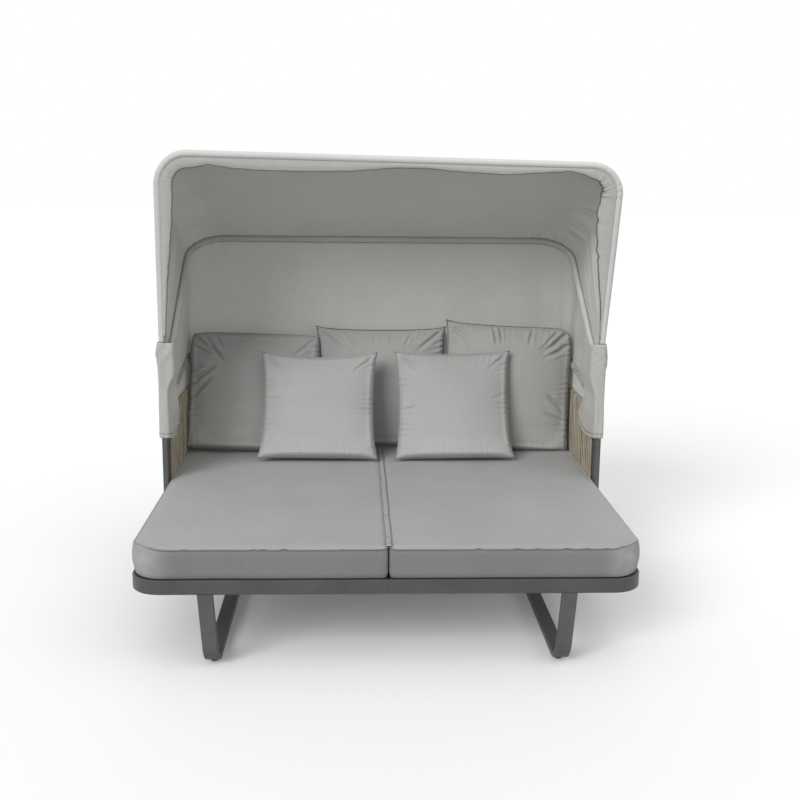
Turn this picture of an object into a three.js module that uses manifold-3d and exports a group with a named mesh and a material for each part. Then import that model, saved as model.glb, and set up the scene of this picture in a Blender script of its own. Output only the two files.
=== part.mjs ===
// Outdoor daybed with a folding two-hoop canopy, in millimetres: X to the right, Y to the rear, +Z up.
// The origin is on the floor under the middle of the seat.
// The seat is two bent-rail half frames bolted together. It stands on two sled legs and carries rope-wound
// arms and back. The canopy hoops turn on one bolt at the top of each arm post.
import * as THREE from "three";
import { mergeVertices } from "three/addons/utils/BufferGeometryUtils.js";
import Module from "manifold-3d";

const wasm = await Module();
wasm.setup();

// Gaps shared by the whole piece
const fitGap = 0.3;
const runningGap = 0.5;
const boreGap = 0.6;
const cutOverrun = 2;
const weldOverlap = 1;

// Seat frames
const seatHalfWidth = 905;
const seatDepth = 1640;
const seatUnderside = 278;
const railHeight = 53;
const railThickness = 25;
const railCornerRadius = 105;
const railEdge = 3;
const lipWidth = 22;
const lipThickness = 4;
const deckThickness = 6;
const deckMargin = 1;
const slatCount = 11;
const slatWidth = 72;
const deckBorder = 30;
const centreBoltInset = 220;
const centreBoltRadius = 4;
const boltHeadRadius = 8;
const boltHeadHeight = 4;
const nutHeight = 6.5;

// Sled legs and glides
const legTopInset = 265;
const legFootInset = 285;
const legBarWidth = 55;
const legBarThickness = 20;
const legBarEdge = 3;
const legBendRadius = 60;
const glideHeight = 12;
const glideRadius = 15;
const glideStemRadius = 4;
const glideInset = 85;
const glideNutHeight = 5;
const glideNutRadius = 7;

// Arm frames
const armGap = 0.5;
const armTube = 22;
const postDepth = 45;
const postRearDistance = 730;
const armTop = 725;
const armRailHeight = 22;
const lowRailUnderside = 345;
const armCornerRadius = 30;
const armEdge = 2;
const uprightRearInset = 12;
const armBoltRadius = 4;

// Back frame
const backCentreUpright = 22;
const backBoltLow = 420;
const backBoltHigh = 660;

// Rope windings
const ropeWidth = 27;
const ropeThickness = 4;
const ropePitch = 31;
const ropesInGroup = 4;
const ropeGroupSpacing = 222;
const armRopeStart = 12;
const backRopeStart = 34;
const ropeTurn = 3;

// Canopy pivots
const pivotHeight = 975;
const bracketBase = 4;
const bracketDrop = 41;
const tongueThickness = 5;
const tongueRadius = 16;
const pivotBoltRadius = 4;
const pivotHeadHeight = 3;
const capRadius = 11;
const capHeight = 8;
const capGrip = 6;

// Canopy hoops
const hoopLength = 800;
const hoopTubeRadius = 10;
const hoopTail = 14;
const forkSlotLength = 26;
const frontHoopCorner = 120;
const rearHoopCorner = 160;
const frontHoopLean = -9;
const rearHoopLean = 56;
// The front hoop stands racked to the right: sideways per length of leg, its top tilted and a little taller.
const rackAsideShare = 0.031;
const rackTiltShare = 0.0187;
const rackRise = 11;
const sleeveThickness = 3;
const sleeveStart = 70;
const hoopSpacing = 27;

// Canopy cloth
const clothThickness = 2.5;
const roofSag = 14;
const sideFold = 4;
const facingTop = 52;
const facingWave = 13;
const facingStart = 9;
const facingFrontOffset = 7.4;
const rearHemDrop = 35;
const rearClothGap = 10;
const sideHemSetBack = 195;
const sideHemRise = 70;
const sideHemRearGap = 43;
const sideHemRearRise = 143;
const sideHemRadius = 9;
const sideHemGather = 1.4;
const rearCornerInset = 75;

// Corner covers over the posts
const coverRise = 55;
const coverDrop = 95;
const coverHemDip = 24;
const coverHemLift = 10;
const coverFrontGap = 0.6;
const coverInnerReach = 34.5;
const coverInnerLip = 9;
const coverTaperStart = 185;
const coverTaperEnd = 75;
const coverOuterGap = 2.5;
const coverBulge = 7.5;
const coverBulgeSpread = 38;
const coverTopRun = 140;
const coverFlapRun = 339;
const coverRearLap = 3;
const flapRise = 50;

// Seat cushions and their joining strip
const cushionSideInset = 5;
const cushionThickness = 113;
const cushionCrown = 13;
const crownRun = 110;
const cushionFrontInset = 1;
const cushionRearGap = 1.5;
const cushionCentreGap = 1.5;
const cushionRearCorner = 30;
const cushionCentreCorner = 14;
const cushionRound = 9;
const cushionDrawIn = 3;
const stripWidth = 20;
const stripThickness = 1.6;
const stripFrontInset = 22;
const stripRearGap = 221.7;

// Pillows: three across the back and two smaller ones in front
const pillowSeatGap = 0.3;
const pillowSink = 6;
const pillowSideGap = 2.2;
const pillowRailGap = 10;
const backPillowHeight = 600;
const backPillowSwell = 82;
const backPillowSetBack = 217.7;
const scatterPillowWidth = 541;
const scatterPillowHeight = 505;
const scatterPillowSwell = 64;
const scatterPillowSetBack = 397.7;
const scatterPillowSpacing = 617;
// Shares of a third of the room between the arms, of the set-back, of the height and of the swell
const backPillowShares = {
  back_pillow_left: { middle: -0.992, foot: 1, width: 1.0053, height: 0.92, swell: 1 },
  back_pillow_middle: { middle: -0.005, foot: 0.5315, width: 1.0087, height: 0.9533, swell: 0.805 },
  back_pillow_right: { middle: 0.9954, foot: 0.8346, width: 0.992, height: 1, swell: 0.951 },
};
// Shares of the spacing and of the set-back
const scatterPillowShares = {
  scatter_pillow_left: { middle: -0.4635, foot: 1 },
  scatter_pillow_right: { middle: 0.5365, foot: 0.98 },
};
const pillowAngles = {
  back_pillow_left: { lean: 16.5, roll: 1.5 },
  back_pillow_middle: { lean: 8, roll: 0 },
  back_pillow_right: { lean: 7, roll: 2.6 },
  scatter_pillow_left: { lean: 22, roll: 0.5 },
  scatter_pillow_right: { lean: 20, roll: -0.6 },
};

// Counts of facets
const cornerSteps = 5;
const plateSteps = 4;
const tubeSides = 10;
const sleeveSides = 8;
const lathePoints = 8;
const pillowCells = 8;

// Places that follow from the sizes above
const seatTop = seatUnderside + railHeight;
const halfDepth = seatDepth / 2;
const armInner = seatHalfWidth + armGap;
const armOuter = armInner + armTube;
const centreBoltPlace = halfDepth - centreBoltInset;
const legTopPlace = seatHalfWidth - legTopInset;
const legFootPlace = seatHalfWidth - legFootInset;
const glidePlace = halfDepth - glideInset;
const postPlace = halfDepth - postRearDistance;
const uprightRear = halfDepth - uprightRearInset;
const postFront = postPlace - postDepth / 2;
const postRear = postPlace + postDepth / 2;
const uprightFront = uprightRear - armTube;
const boltHeight = seatUnderside + railHeight / 2;
const frontHoopHalf = (armInner + armOuter) / 2;
const rearHoopHalf = frontHoopHalf - hoopSpacing;
const sleeveRadius = hoopTubeRadius + fitGap + sleeveThickness;
const cushionUnderside = seatTop + fitGap;
const seamHeight = cushionUnderside + cushionThickness;
const crownTop = seamHeight + cushionCrown;
const ropeFace = armInner - fitGap - ropeThickness;
const backRopeFace = uprightFront - fitGap - ropeThickness;
const runnerTop = glideHeight + legBarThickness;
const postTop = pivotHeight - bracketDrop - bracketBase - fitGap;
const rearClothPlace = uprightRear + rearClothGap;
const rearHemHeight = armTop - rearHemDrop;
const coverTop = pivotHeight + coverRise;
const coverHem = armTop - coverDrop;
const sideHemStart = postPlace + sideHemSetBack;
const sideHemEnd = uprightRear - sideHemRearGap;
const armRopeGroups = ropeGroups(uprightFront - postRear, armRopeStart);
const backRopeGroups = ropeGroups(armInner - fitGap - armTube - backCentreUpright / 2, backRopeStart);

// Groups of rope turns that fit on a rail.
function ropeGroups(length, start) {
  const oneGroup = (ropesInGroup - 1) * ropePitch + ropePitch / 2 + ropeWidth;
  return 1 + Math.floor((length - start - oneGroup) / ropeGroupSpacing);
}

// Materials
function finish(color, roughness, metalness) {
  return new THREE.MeshStandardMaterial({ color, roughness, metalness });
}
const darkFrame = finish(0x5a5d5f, 0.45, 0.3);
const steel = finish(0x9a9c9e, 0.35, 0.8);
const blackPlastic = finish(0x1c1d1e, 0.6, 0);
const rope = finish(0xb5a98c, 0.9, 0);
const canopyCloth = finish(0xb5b4b1, 0.9, 0);
const seatCloth = finish(0xa9aaa8, 0.95, 0);
const pillowCloth = finish(0x979795, 0.95, 0);

const daybed = new THREE.Group();

function addPiece(name, geometry, material) {
  const mesh = new THREE.Mesh(geometry, material);
  mesh.name = name;
  daybed.add(mesh);
}

// A closed mesh from its corners and triangles, turned so that its faces point out.
function closedSolid(points, triangles) {
  let volume = 0;
  for (const [a, b, c] of triangles) {
    volume += points[a].dot(new THREE.Vector3().crossVectors(points[b], points[c]));
  }
  const turned = volume < 0 ? triangles.map(([a, b, c]) => [a, c, b]) : triangles;
  const geometry = new THREE.BufferGeometry();
  geometry.setAttribute("position", new THREE.Float32BufferAttribute(points.flatMap((p) => p.toArray()), 3));
  geometry.setIndex(turned.flat());
  return geometry;
}

// The same piece on the other side of the daybed.
function mirrored(geometry) {
  const copy = geometry.clone();
  copy.scale(-1, 1, 1);
  const order = copy.index ? Array.from(copy.index.array) : [...Array(copy.attributes.position.count).keys()];
  for (let i = 0; i < order.length; i += 3) {
    [order[i + 1], order[i + 2]] = [order[i + 2], order[i + 1]];
  }
  copy.setIndex(order);
  return copy;
}

function addPair(name, geometry, material) {
  addPiece("right_" + name, geometry, material);
  addPiece("left_" + name, mirrored(geometry), material);
}

// Boolean work on closed meshes.
function toSolid(geometry) {
  const bare = geometry.clone();
  bare.deleteAttribute("normal");
  bare.deleteAttribute("uv");
  const merged = mergeVertices(bare, 1e-3);
  return new wasm.Manifold(new wasm.Mesh({
    numProp: 3,
    vertProperties: new Float32Array(merged.attributes.position.array),
    triVerts: new Uint32Array(merged.index.array),
  }));
}

function toGeometry(solid) {
  const mesh = solid.getMesh();
  const geometry = new THREE.BufferGeometry();
  geometry.setAttribute("position", new THREE.BufferAttribute(mesh.vertProperties, 3));
  geometry.setIndex(new THREE.BufferAttribute(mesh.triVerts, 1));
  return geometry;
}

function joined(...geometries) {
  return toGeometry(geometries.map(toSolid).reduce((whole, next) => whole.add(next)));
}

function cut(geometry, ...cutters) {
  return toGeometry(cutters.map(toSolid).reduce((whole, next) => whole.subtract(next), toSolid(geometry)));
}

// Turns a geometry made about +Y, such as a lathe, to point along +X or +Z, and puts it in place.
function alongX(geometry, x, y, z) {
  return geometry.rotateZ(-Math.PI / 2).translate(x, y, z);
}

function alongZ(geometry, x, y, z) {
  return geometry.rotateX(Math.PI / 2).translate(x, y, z);
}

// A drill along X or Z between two places.
function drillX(radius, from, to, y, z) {
  const drill = new THREE.CylinderGeometry(radius, radius, to - from, lathePoints);
  return alongX(drill, (from + to) / 2, y, z);
}

function drillZ(radius, from, to, x, y) {
  const drill = new THREE.CylinderGeometry(radius, radius, to - from, lathePoints);
  return alongZ(drill, x, y, (from + to) / 2);
}

// A turned piece: a closed profile of [radius, height] about +Y.
function turned(profile, sides = lathePoints) {
  return new THREE.LatheGeometry(profile.map(([r, h]) => new THREE.Vector2(r, h)), sides);
}

// A plan outline with a rounding of its own at each corner, anticlockwise from the lowest corner.
function roundedOutline(x0, x1, y0, y1, radii) {
  const shape = new THREE.Shape();
  const [a, b, c, d] = radii;
  shape.moveTo(x0 + a, y0);
  shape.lineTo(x1 - b, y0);
  if (b) shape.absarc(x1 - b, y0 + b, b, -Math.PI / 2, 0, false);
  shape.lineTo(x1, y1 - c);
  if (c) shape.absarc(x1 - c, y1 - c, c, 0, Math.PI / 2, false);
  shape.lineTo(x0 + d, y1);
  if (d) shape.absarc(x0 + d, y1 - d, d, Math.PI / 2, Math.PI, false);
  shape.lineTo(x0, y0 + a);
  if (a) shape.absarc(x0 + a, y0 + a, a, Math.PI, Math.PI * 1.5, false);
  return shape;
}

function softPlate(shape, thickness, edge) {
  return new THREE.ExtrudeGeometry(shape, {
    depth: thickness - 2 * edge,
    bevelEnabled: edge > 0,
    bevelThickness: edge,
    bevelSize: edge,
    bevelOffset: -edge,
    bevelSegments: 1,
    curveSegments: plateSteps,
  }).translate(0, 0, edge);
}

// Shape drawn in Y and Z, made thick along X from a given place.
function standingPlate(shape, thickness, edge, x) {
  const plate = softPlate(shape, thickness, edge);
  const basis = new THREE.Matrix4().makeBasis(
    new THREE.Vector3(0, 1, 0), new THREE.Vector3(0, 0, 1), new THREE.Vector3(1, 0, 0));
  return plate.applyMatrix4(basis).translate(x, 0, 0);
}

// Shape drawn in X and Z, made thick along Y from a given place towards the front.
function facingPlate(shape, thickness, edge, rear) {
  const plate = softPlate(shape, thickness, edge);
  const basis = new THREE.Matrix4().makeBasis(
    new THREE.Vector3(1, 0, 0), new THREE.Vector3(0, 0, 1), new THREE.Vector3(0, -1, 0));
  return plate.applyMatrix4(basis).translate(0, rear, 0);
}

// A bar swept through frames {place, across, up}; the outline is a list of [across, up] sizes.
function sweptBar(frames, outline) {
  const points = [];
  const triangles = [];
  const count = outline.length;
  for (const { place, across, up, swell = 1 } of frames) {
    for (const [a, b] of outline) {
      points.push(place.clone().addScaledVector(across, a * swell).addScaledVector(up, b * swell));
    }
  }
  for (let i = 0; i + 1 < frames.length; i++) {
    for (let j = 0; j < count; j++) {
      const [a, b] = [i * count + j, i * count + (j + 1) % count];
      triangles.push([a, b, b + count], [a, b + count, a + count]);
    }
  }
  const last = (frames.length - 1) * count;
  const cap = THREE.ShapeUtils.triangulateShape(outline.map(([a, b]) => new THREE.Vector2(a, b)), []);
  for (const [a, b, c] of cap) {
    triangles.push([a, c, b], [last + a, last + b, last + c]);
  }
  return closedSolid(points, triangles);
}

// A sleeve swept through frames: an outer and an inner ring of the same count, closed at both ends.
function sweptSleeve(frames, outer, inner) {
  const points = [];
  const triangles = [];
  const count = outer.length;
  const ring = 2 * count;
  for (const { place, across, up } of frames) {
    for (const [a, b] of [...outer, ...inner]) {
      points.push(place.clone().addScaledVector(across, a).addScaledVector(up, b));
    }
  }
  const last = (frames.length - 1) * ring;
  for (let j = 0; j < count; j++) {
    const next = (j + 1) % count;
    for (let i = 0; i + 1 < frames.length; i++) {
      const o = i * ring;
      triangles.push([o + j, o + next, o + ring + next], [o + j, o + ring + next, o + ring + j]);
      const [a, b] = [o + count + j, o + count + next];
      triangles.push([a, b + ring, b], [a, a + ring, b + ring]);
    }
    triangles.push([j, count + next, next], [j, count + j, count + next]);
    triangles.push([last + j, last + next, last + count + next]);
    triangles.push([last + j, last + count + next, last + count + j]);
  }
  return closedSolid(points, triangles);
}

// A sheet of one thickness over a grid of points, grid[row][column].
function sheet(grid, thickness) {
  const rows = grid.length;
  const columns = grid[0].length;
  const faces = [[], []];
  for (let i = 0; i < rows; i++) {
    for (let j = 0; j < columns; j++) {
      const along = grid[Math.min(i + 1, rows - 1)][j].clone().sub(grid[Math.max(i - 1, 0)][j]);
      const across = grid[i][Math.min(j + 1, columns - 1)].clone().sub(grid[i][Math.max(j - 1, 0)]);
      const normal = along.cross(across).normalize();
      faces[0].push(grid[i][j].clone().addScaledVector(normal, thickness / 2));
      faces[1].push(grid[i][j].clone().addScaledVector(normal, -thickness / 2));
    }
  }
  const under = rows * columns;
  const triangles = [];
  const at = (i, j) => i * columns + j;
  for (let i = 0; i + 1 < rows; i++) {
    for (let j = 0; j + 1 < columns; j++) {
      const [a, b, c, d] = [at(i, j), at(i + 1, j), at(i + 1, j + 1), at(i, j + 1)];
      triangles.push([a, b, c], [a, c, d]);
      triangles.push([under + a, under + c, under + b], [under + a, under + d, under + c]);
    }
  }
  const edge = [];
  for (let j = 0; j + 1 < columns; j++) edge.push([at(0, j), at(0, j + 1)]);
  for (let i = 0; i + 1 < rows; i++) edge.push([at(i, columns - 1), at(i + 1, columns - 1)]);
  for (let j = columns - 1; j > 0; j--) edge.push([at(rows - 1, j), at(rows - 1, j - 1)]);
  for (let i = rows - 1; i > 0; i--) edge.push([at(i, 0), at(i - 1, 0)]);
  for (const [a, b] of edge) {
    triangles.push([a, b, under + b], [a, under + b, under + a]);
  }
  return closedSolid([...faces[0], ...faces[1]], triangles);
}

// A solid lofted through rings of the same count, closed by a fan at each end.
function lofted(rings) {
  const count = rings[0].length;
  const points = rings.flat();
  const triangles = [];
  for (let i = 0; i + 1 < rings.length; i++) {
    for (let j = 0; j < count; j++) {
      const [a, b] = [i * count + j, i * count + (j + 1) % count];
      triangles.push([a, b, b + count], [a, b + count, a + count]);
    }
  }
  for (const [start, flip] of [[0, true], [points.length - count, false]]) {
    const middle = new THREE.Vector3();
    for (let j = 0; j < count; j++) middle.addScaledVector(points[start + j], 1 / count);
    const hub = points.push(middle) - 1;
    for (let j = 0; j < count; j++) {
      const [a, b] = [start + j, start + (j + 1) % count];
      triangles.push(flip ? [hub, b, a] : [hub, a, b]);
    }
  }
  return closedSolid(points, triangles);
}

function circle(radius, sides = tubeSides) {
  return Array.from({ length: sides }, (_, i) => {
    const angle = ((i + 0.5) / sides) * 2 * Math.PI;
    return [radius * Math.cos(angle), radius * Math.sin(angle)];
  });
}

function chamferedBox(width, height, edge) {
  const [w, h] = [width / 2, height / 2];
  return [[-w + edge, -h], [w - edge, -h], [w, -h + edge], [w, h - edge],
    [w - edge, h], [-w + edge, h], [-w, h - edge], [-w, -h + edge]];
}

const smooth = (t) => THREE.MathUtils.smoothstep(t, 0, 1);
const mix = THREE.MathUtils.lerp;

// Seat half frame: a bent rail with two rounded outer corners, closed by a straight rail at the joint line,
// with a lip welded inside for the slats.
function seatFrame() {
  const inside = seatHalfWidth - railThickness;
  const innerRadius = railCornerRadius - railThickness;
  const outline = roundedOutline(fitGap, seatHalfWidth, -halfDepth, halfDepth,
    [0, railCornerRadius, railCornerRadius, 0]);
  outline.holes.push(roundedOutline(fitGap + railThickness, inside, -halfDepth + railThickness,
    halfDepth - railThickness, [0, innerRadius, innerRadius, 0]));
  const rail = softPlate(outline, railHeight, railEdge).translate(0, 0, seatUnderside);
  const lipOutline = roundedOutline(fitGap + railThickness - weldOverlap, inside + weldOverlap,
    -halfDepth + railThickness - weldOverlap, halfDepth - railThickness + weldOverlap,
    [0, innerRadius + weldOverlap, innerRadius + weldOverlap, 0]);
  const lipRadius = innerRadius - lipWidth;
  lipOutline.holes.push(roundedOutline(fitGap + railThickness + lipWidth, inside - lipWidth,
    -halfDepth + railThickness + lipWidth, halfDepth - railThickness - lipWidth, [0, lipRadius, lipRadius, 0]));
  const lipUnderside = seatTop - deckThickness - fitGap - lipThickness;
  const lip = softPlate(lipOutline, lipThickness, 0).translate(0, 0, lipUnderside);
  const holes = [postPlace, uprightRear - armTube / 2].map((place) =>
    drillX(armBoltRadius + boreGap, inside - cutOverrun, seatHalfWidth + cutOverrun, place, boltHeight));
  const centreHoles = [-centreBoltPlace, centreBoltPlace].map((place) =>
    drillX(centreBoltRadius + boreGap, -cutOverrun, fitGap + railThickness + cutOverrun, place, boltHeight));
  return cut(joined(rail, lip), ...holes, ...centreHoles);
}

// Slat deck: cross slats between two side strips, one welded panel that drops onto the lip.
function slatDeck() {
  const x0 = fitGap + railThickness + deckMargin;
  const x1 = seatHalfWidth - railThickness - deckMargin;
  const y1 = halfDepth - railThickness - deckMargin;
  const radius = railCornerRadius - railThickness - deckMargin;
  const outline = roundedOutline(x0, x1, -y1, y1, [0, radius, radius, 0]);
  const pitch = (2 * y1 - 2 * deckBorder + slatWidth) / slatCount;
  for (let i = 0; i < slatCount; i++) {
    const low = -y1 + deckBorder + i * pitch;
    outline.holes.push(roundedOutline(x0 + deckBorder, x1 - deckBorder - radius / 2, low,
      low + pitch - slatWidth, [0, 0, 0, 0]));
  }
  return softPlate(outline, deckThickness, 0).translate(0, 0, seatTop - deckThickness);
}

addPair("seat_frame", seatFrame(), darkFrame);
addPair("slat_deck", slatDeck(), darkFrame);

// Centre bolts: through both straight rails, head on the left, nut on the right.
function roundBolt(shankRadius, shankLength) {
  return turned([[0, -boltHeadHeight], [boltHeadRadius * 0.7, -boltHeadHeight],
    [boltHeadRadius, -boltHeadHeight / 2], [boltHeadRadius, 0], [shankRadius, 0],
    [shankRadius, shankLength], [0, shankLength]]);
}

function hexNut(bore, radius, height) {
  const sides = 6;
  const body = new THREE.CylinderGeometry(radius, radius, height, sides);
  const drill = new THREE.CylinderGeometry(bore, bore, height + 2 * cutOverrun, lathePoints);
  return cut(body.translate(0, height / 2, 0), drill.translate(0, height / 2, 0));
}

function centreBolts() {
  const face = fitGap + railThickness + fitGap;
  for (const [end, place] of [["front", -centreBoltPlace], ["rear", centreBoltPlace]]) {
    const bolt = alongX(roundBolt(centreBoltRadius, 2 * face + nutHeight), -face, place, boltHeight);
    addPiece(end + "_centre_bolt", bolt, steel);
    const nut = alongX(hexNut(centreBoltRadius + boreGap, boltHeadRadius, nutHeight), face, place, boltHeight);
    addPiece(end + "_centre_nut", nut, steel);
  }
}
centreBolts();

// Sled leg: one flat bar bent to a runner with an upright at each end, leaning out towards the top.
function sledLeg() {
  const end = halfDepth - railThickness / 2;
  const top = seatUnderside - fitGap;
  const runner = glideHeight + legBarThickness / 2;
  const across = new THREE.Vector3(1, 0, 0);
  const frames = [];
  const addFrame = (y, z, angle) => frames.push({
    place: new THREE.Vector3(0, y, z),
    across,
    up: new THREE.Vector3(0, Math.cos(angle), Math.sin(angle)),
  });
  addFrame(-end, top, 0);
  for (let i = 0; i <= cornerSteps; i++) {
    const angle = (i / cornerSteps) * (Math.PI / 2);
    addFrame(-end + legBendRadius * (1 - Math.cos(angle)), runner + legBendRadius * (1 - Math.sin(angle)), angle);
  }
  for (let i = 0; i <= cornerSteps; i++) {
    const angle = Math.PI / 2 + (i / cornerSteps) * (Math.PI / 2);
    addFrame(end - legBendRadius * (1 + Math.cos(angle)), runner + legBendRadius * (1 - Math.sin(angle)), angle);
  }
  addFrame(end, top, Math.PI);
  const bar = sweptBar(frames, chamferedBox(legBarWidth, legBarThickness, legBarEdge));
  const leanShare = (legTopPlace - legFootPlace) / seatUnderside;
  bar.applyMatrix4(new THREE.Matrix4().makeShear(0, 0, 0, 0, leanShare, 0));
  bar.translate(legFootPlace, 0, 0);
  const holes = [-glidePlace, glidePlace].map((place) =>
    drillZ(glideStemRadius + boreGap, glideHeight - cutOverrun, runnerTop + cutOverrun, glideAcross(), place));
  return cut(bar, ...holes);
}

// The glide stands under the middle of the runner.
function glideAcross() {
  return mix(legFootPlace, legTopPlace, (glideHeight + legBarThickness / 2) / seatUnderside);
}

function glides() {
  const body = glideHeight - fitGap;
  const stem = runnerTop + fitGap + glideNutHeight;
  for (const [end, place] of [["front", -glidePlace], ["rear", glidePlace]]) {
    const glide = turned([[0, 0], [glideRadius * 0.86, 0], [glideRadius, body * 0.3], [glideRadius, body],
      [glideStemRadius, body], [glideStemRadius, stem], [0, stem]]);
    addPair(end + "_glide", alongZ(glide, glideAcross(), place, 0), blackPlastic);
    const nut = hexNut(glideStemRadius + boreGap, glideNutRadius, glideNutHeight);
    addPair(end + "_glide_nut", alongZ(nut, glideAcross(), place, runnerTop + fitGap), steel);
  }
}

addPair("sled_leg", sledLeg(), darkFrame);
glides();

// Arm frame: post, arm rail, lower rail and rear upright in one plane, welded; it hangs on the seat rail's side.
function armFrame() {
  const shape = new THREE.Shape();
  shape.moveTo(postFront, seatUnderside);
  shape.lineTo(postRear, seatUnderside);
  shape.lineTo(postRear, lowRailUnderside);
  shape.lineTo(uprightFront, lowRailUnderside);
  shape.lineTo(uprightFront, seatUnderside);
  shape.lineTo(uprightRear, seatUnderside);
  shape.absarc(uprightRear - armCornerRadius, armTop - armCornerRadius, armCornerRadius, 0, Math.PI / 2, false);
  shape.lineTo(postRear, armTop);
  shape.lineTo(postRear, postTop);
  shape.lineTo(postFront, postTop);
  shape.closePath();
  const inner = armCornerRadius - armTube / 2;
  shape.holes.push(roundedOutline(postRear, uprightFront, lowRailUnderside + armRailHeight,
    armTop - armRailHeight, [0, 0, inner, 0]));
  const frame = standingPlate(shape, armTube, armEdge, armInner);
  const bolts = [postPlace, uprightRear - armTube / 2].map((place) =>
    drillX(armBoltRadius + boreGap, armInner - cutOverrun, armOuter + cutOverrun, place, boltHeight));
  const backBolts = [backBoltLow, backBoltHigh].map((height) =>
    drillX(armBoltRadius + boreGap, armInner - cutOverrun, armOuter + cutOverrun,
      uprightRear - armTube / 2, height));
  return cut(frame, ...bolts, ...backBolts);
}

function armBolt(reach) {
  return roundBolt(armBoltRadius, reach).rotateZ(Math.PI);
}

addPair("arm_frame", armFrame(), darkFrame);
for (const [end, place] of [["front", postPlace], ["rear", uprightRear - armTube / 2]]) {
  const bolt = alongX(armBolt(armTube + railThickness), armOuter + fitGap, place, boltHeight);
  addPair(end + "_arm_bolt", bolt, steel);
}

// Back frame: a welded frame with a centre upright, held between the rear uprights of the arms.
function backFrame() {
  const end = armInner - fitGap;
  const centre = backCentreUpright / 2;
  const half = (x0, x1, side0, side1) => {
    const shape = roundedOutline(x0, x1, lowRailUnderside, armTop, [0, 0, 0, 0]);
    shape.holes.push(roundedOutline(x0 + side0, x1 - side1, lowRailUnderside + armRailHeight,
      armTop - armRailHeight, [0, 0, 0, 0]));
    return facingPlate(shape, armTube, armEdge, uprightRear);
  };
  const frame = joined(half(-centre, end, backCentreUpright, armTube),
    half(-end, centre, armTube, backCentreUpright));
  const holes = [-1, 1].flatMap((side) => [backBoltLow, backBoltHigh].map((height) => {
    const [near, far] = [end - armTube * 0.8, end + cutOverrun].map((place) => side * place);
    return drillX(armBoltRadius + boreGap, Math.min(near, far), Math.max(near, far),
      uprightRear - armTube / 2, height);
  }));
  return cut(frame, ...holes);
}

addPiece("back_frame", backFrame(), darkFrame);
for (const [level, height] of [["low", backBoltLow], ["high", backBoltHigh]]) {
  const bolt = alongX(armBolt(armTube * 1.6), armOuter + fitGap, uprightRear - armTube / 2, height);
  addPair(level + "_back_bolt", bolt, steel);
}

// Rope winding: one unbroken flat rope round an upper and a lower rail, in groups of turns with an open gap
// between the groups. Each turn goes up the outside, over the top and down the inside.
function ropeWinding(name, start, groups, place, along, across, material) {
  const reach = armTube / 2 + fitGap + ropeThickness / 2;
  const top = armTop + fitGap + ropeThickness / 2;
  const bottom = lowRailUnderside - fitGap - ropeThickness / 2;
  const up = new THREE.Vector3(0, 0, 1);
  const eighth = Math.PI / 4;
  const frames = [];
  const addFrame = (s, side, height, angle, mitred = true) => {
    const normal = across.clone().multiplyScalar(Math.cos(angle)).addScaledVector(up, Math.sin(angle));
    frames.push({
      place: place.clone().addScaledVector(along, s).addScaledVector(across, side).setZ(height),
      across: along,
      up: normal.multiplyScalar(mitred ? 1 / Math.cos(eighth / 2) : 1),
    });
  };
  const turns = groups * ropesInGroup;
  const runs = Array.from({ length: turns }, (_, i) =>
    start + ropeWidth / 2 + Math.floor(i / ropesInGroup) * ropeGroupSpacing + (i % ropesInGroup) * ropePitch);
  runs.forEach((outer, i) => {
    const inner = outer + ropePitch / 2;
    addFrame(outer, reach, bottom + ropeTurn, -eighth / 2, i > 0);
    addFrame(outer, reach, top - ropeTurn, eighth / 2);
    addFrame(outer, reach - ropeTurn, top, eighth * 1.5);
    addFrame(inner, -reach + ropeTurn, top, eighth * 2.5);
    addFrame(inner, -reach, top - ropeTurn, eighth * 3.5);
    if (i + 1 < turns) {
      addFrame(inner, -reach, bottom + ropeTurn, eighth * 4.5);
      addFrame(inner, -reach + ropeTurn, bottom, eighth * 5.5);
      addFrame(runs[i + 1], reach - ropeTurn, bottom, eighth * 6.5);
    } else {
      addFrame(inner, -reach, bottom + ropeTurn, eighth * 4, false);
    }
  });
  frames[0].up.copy(across);
  const [w, t] = [ropeWidth / 2, ropeThickness / 2];
  reportLeastGap(name, frames, w);
  addPiece(name, sweptBar(frames, [[-w, -t], [w, -t], [w, t], [-w, t]]), material);
}

// The least gap of a winding to itself, measured between points along the two edges of the rope.
function reportLeastGap(name, frames, halfWidth) {
  const framesInTurn = 8;
  const cells = 4;
  const edges = [-halfWidth, halfWidth].map((offset) => frames.slice(1).flatMap((next, i) => {
    const [a, b] = [frames[i], next].map(({ place, across }) => place.clone().addScaledVector(across, offset));
    return Array.from({ length: cells }, (_, k) => a.clone().lerp(b, k / cells));
  }));
  let least = Infinity;
  edges[1].forEach((point, i) => {
    for (const other of edges[0].slice(i + (framesInTurn - 1) * cells)) {
      least = Math.min(least, point.distanceTo(other));
    }
  });
  console.log(name + ": least gap of the rope to itself " + least.toFixed(2) + " mm");
}

function ropeWindings() {
  const backMiddle = uprightRear - armTube / 2;
  for (const [side, name] of [[1, "right_"], [-1, "left_"]]) {
    const armPlace = new THREE.Vector3(side * (armInner + armTube / 2), postRear, 0);
    ropeWinding(name + "arm_rope", armRopeStart, armRopeGroups, armPlace,
      new THREE.Vector3(0, 1, 0), new THREE.Vector3(side, 0, 0), rope);
    const backPlace = new THREE.Vector3(side * backCentreUpright / 2, backMiddle, 0);
    ropeWinding(name + "back_rope", backRopeStart, backRopeGroups, backPlace,
      new THREE.Vector3(side, 0, 0), new THREE.Vector3(0, 1, 0), rope);
  }
}
ropeWindings();

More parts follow.
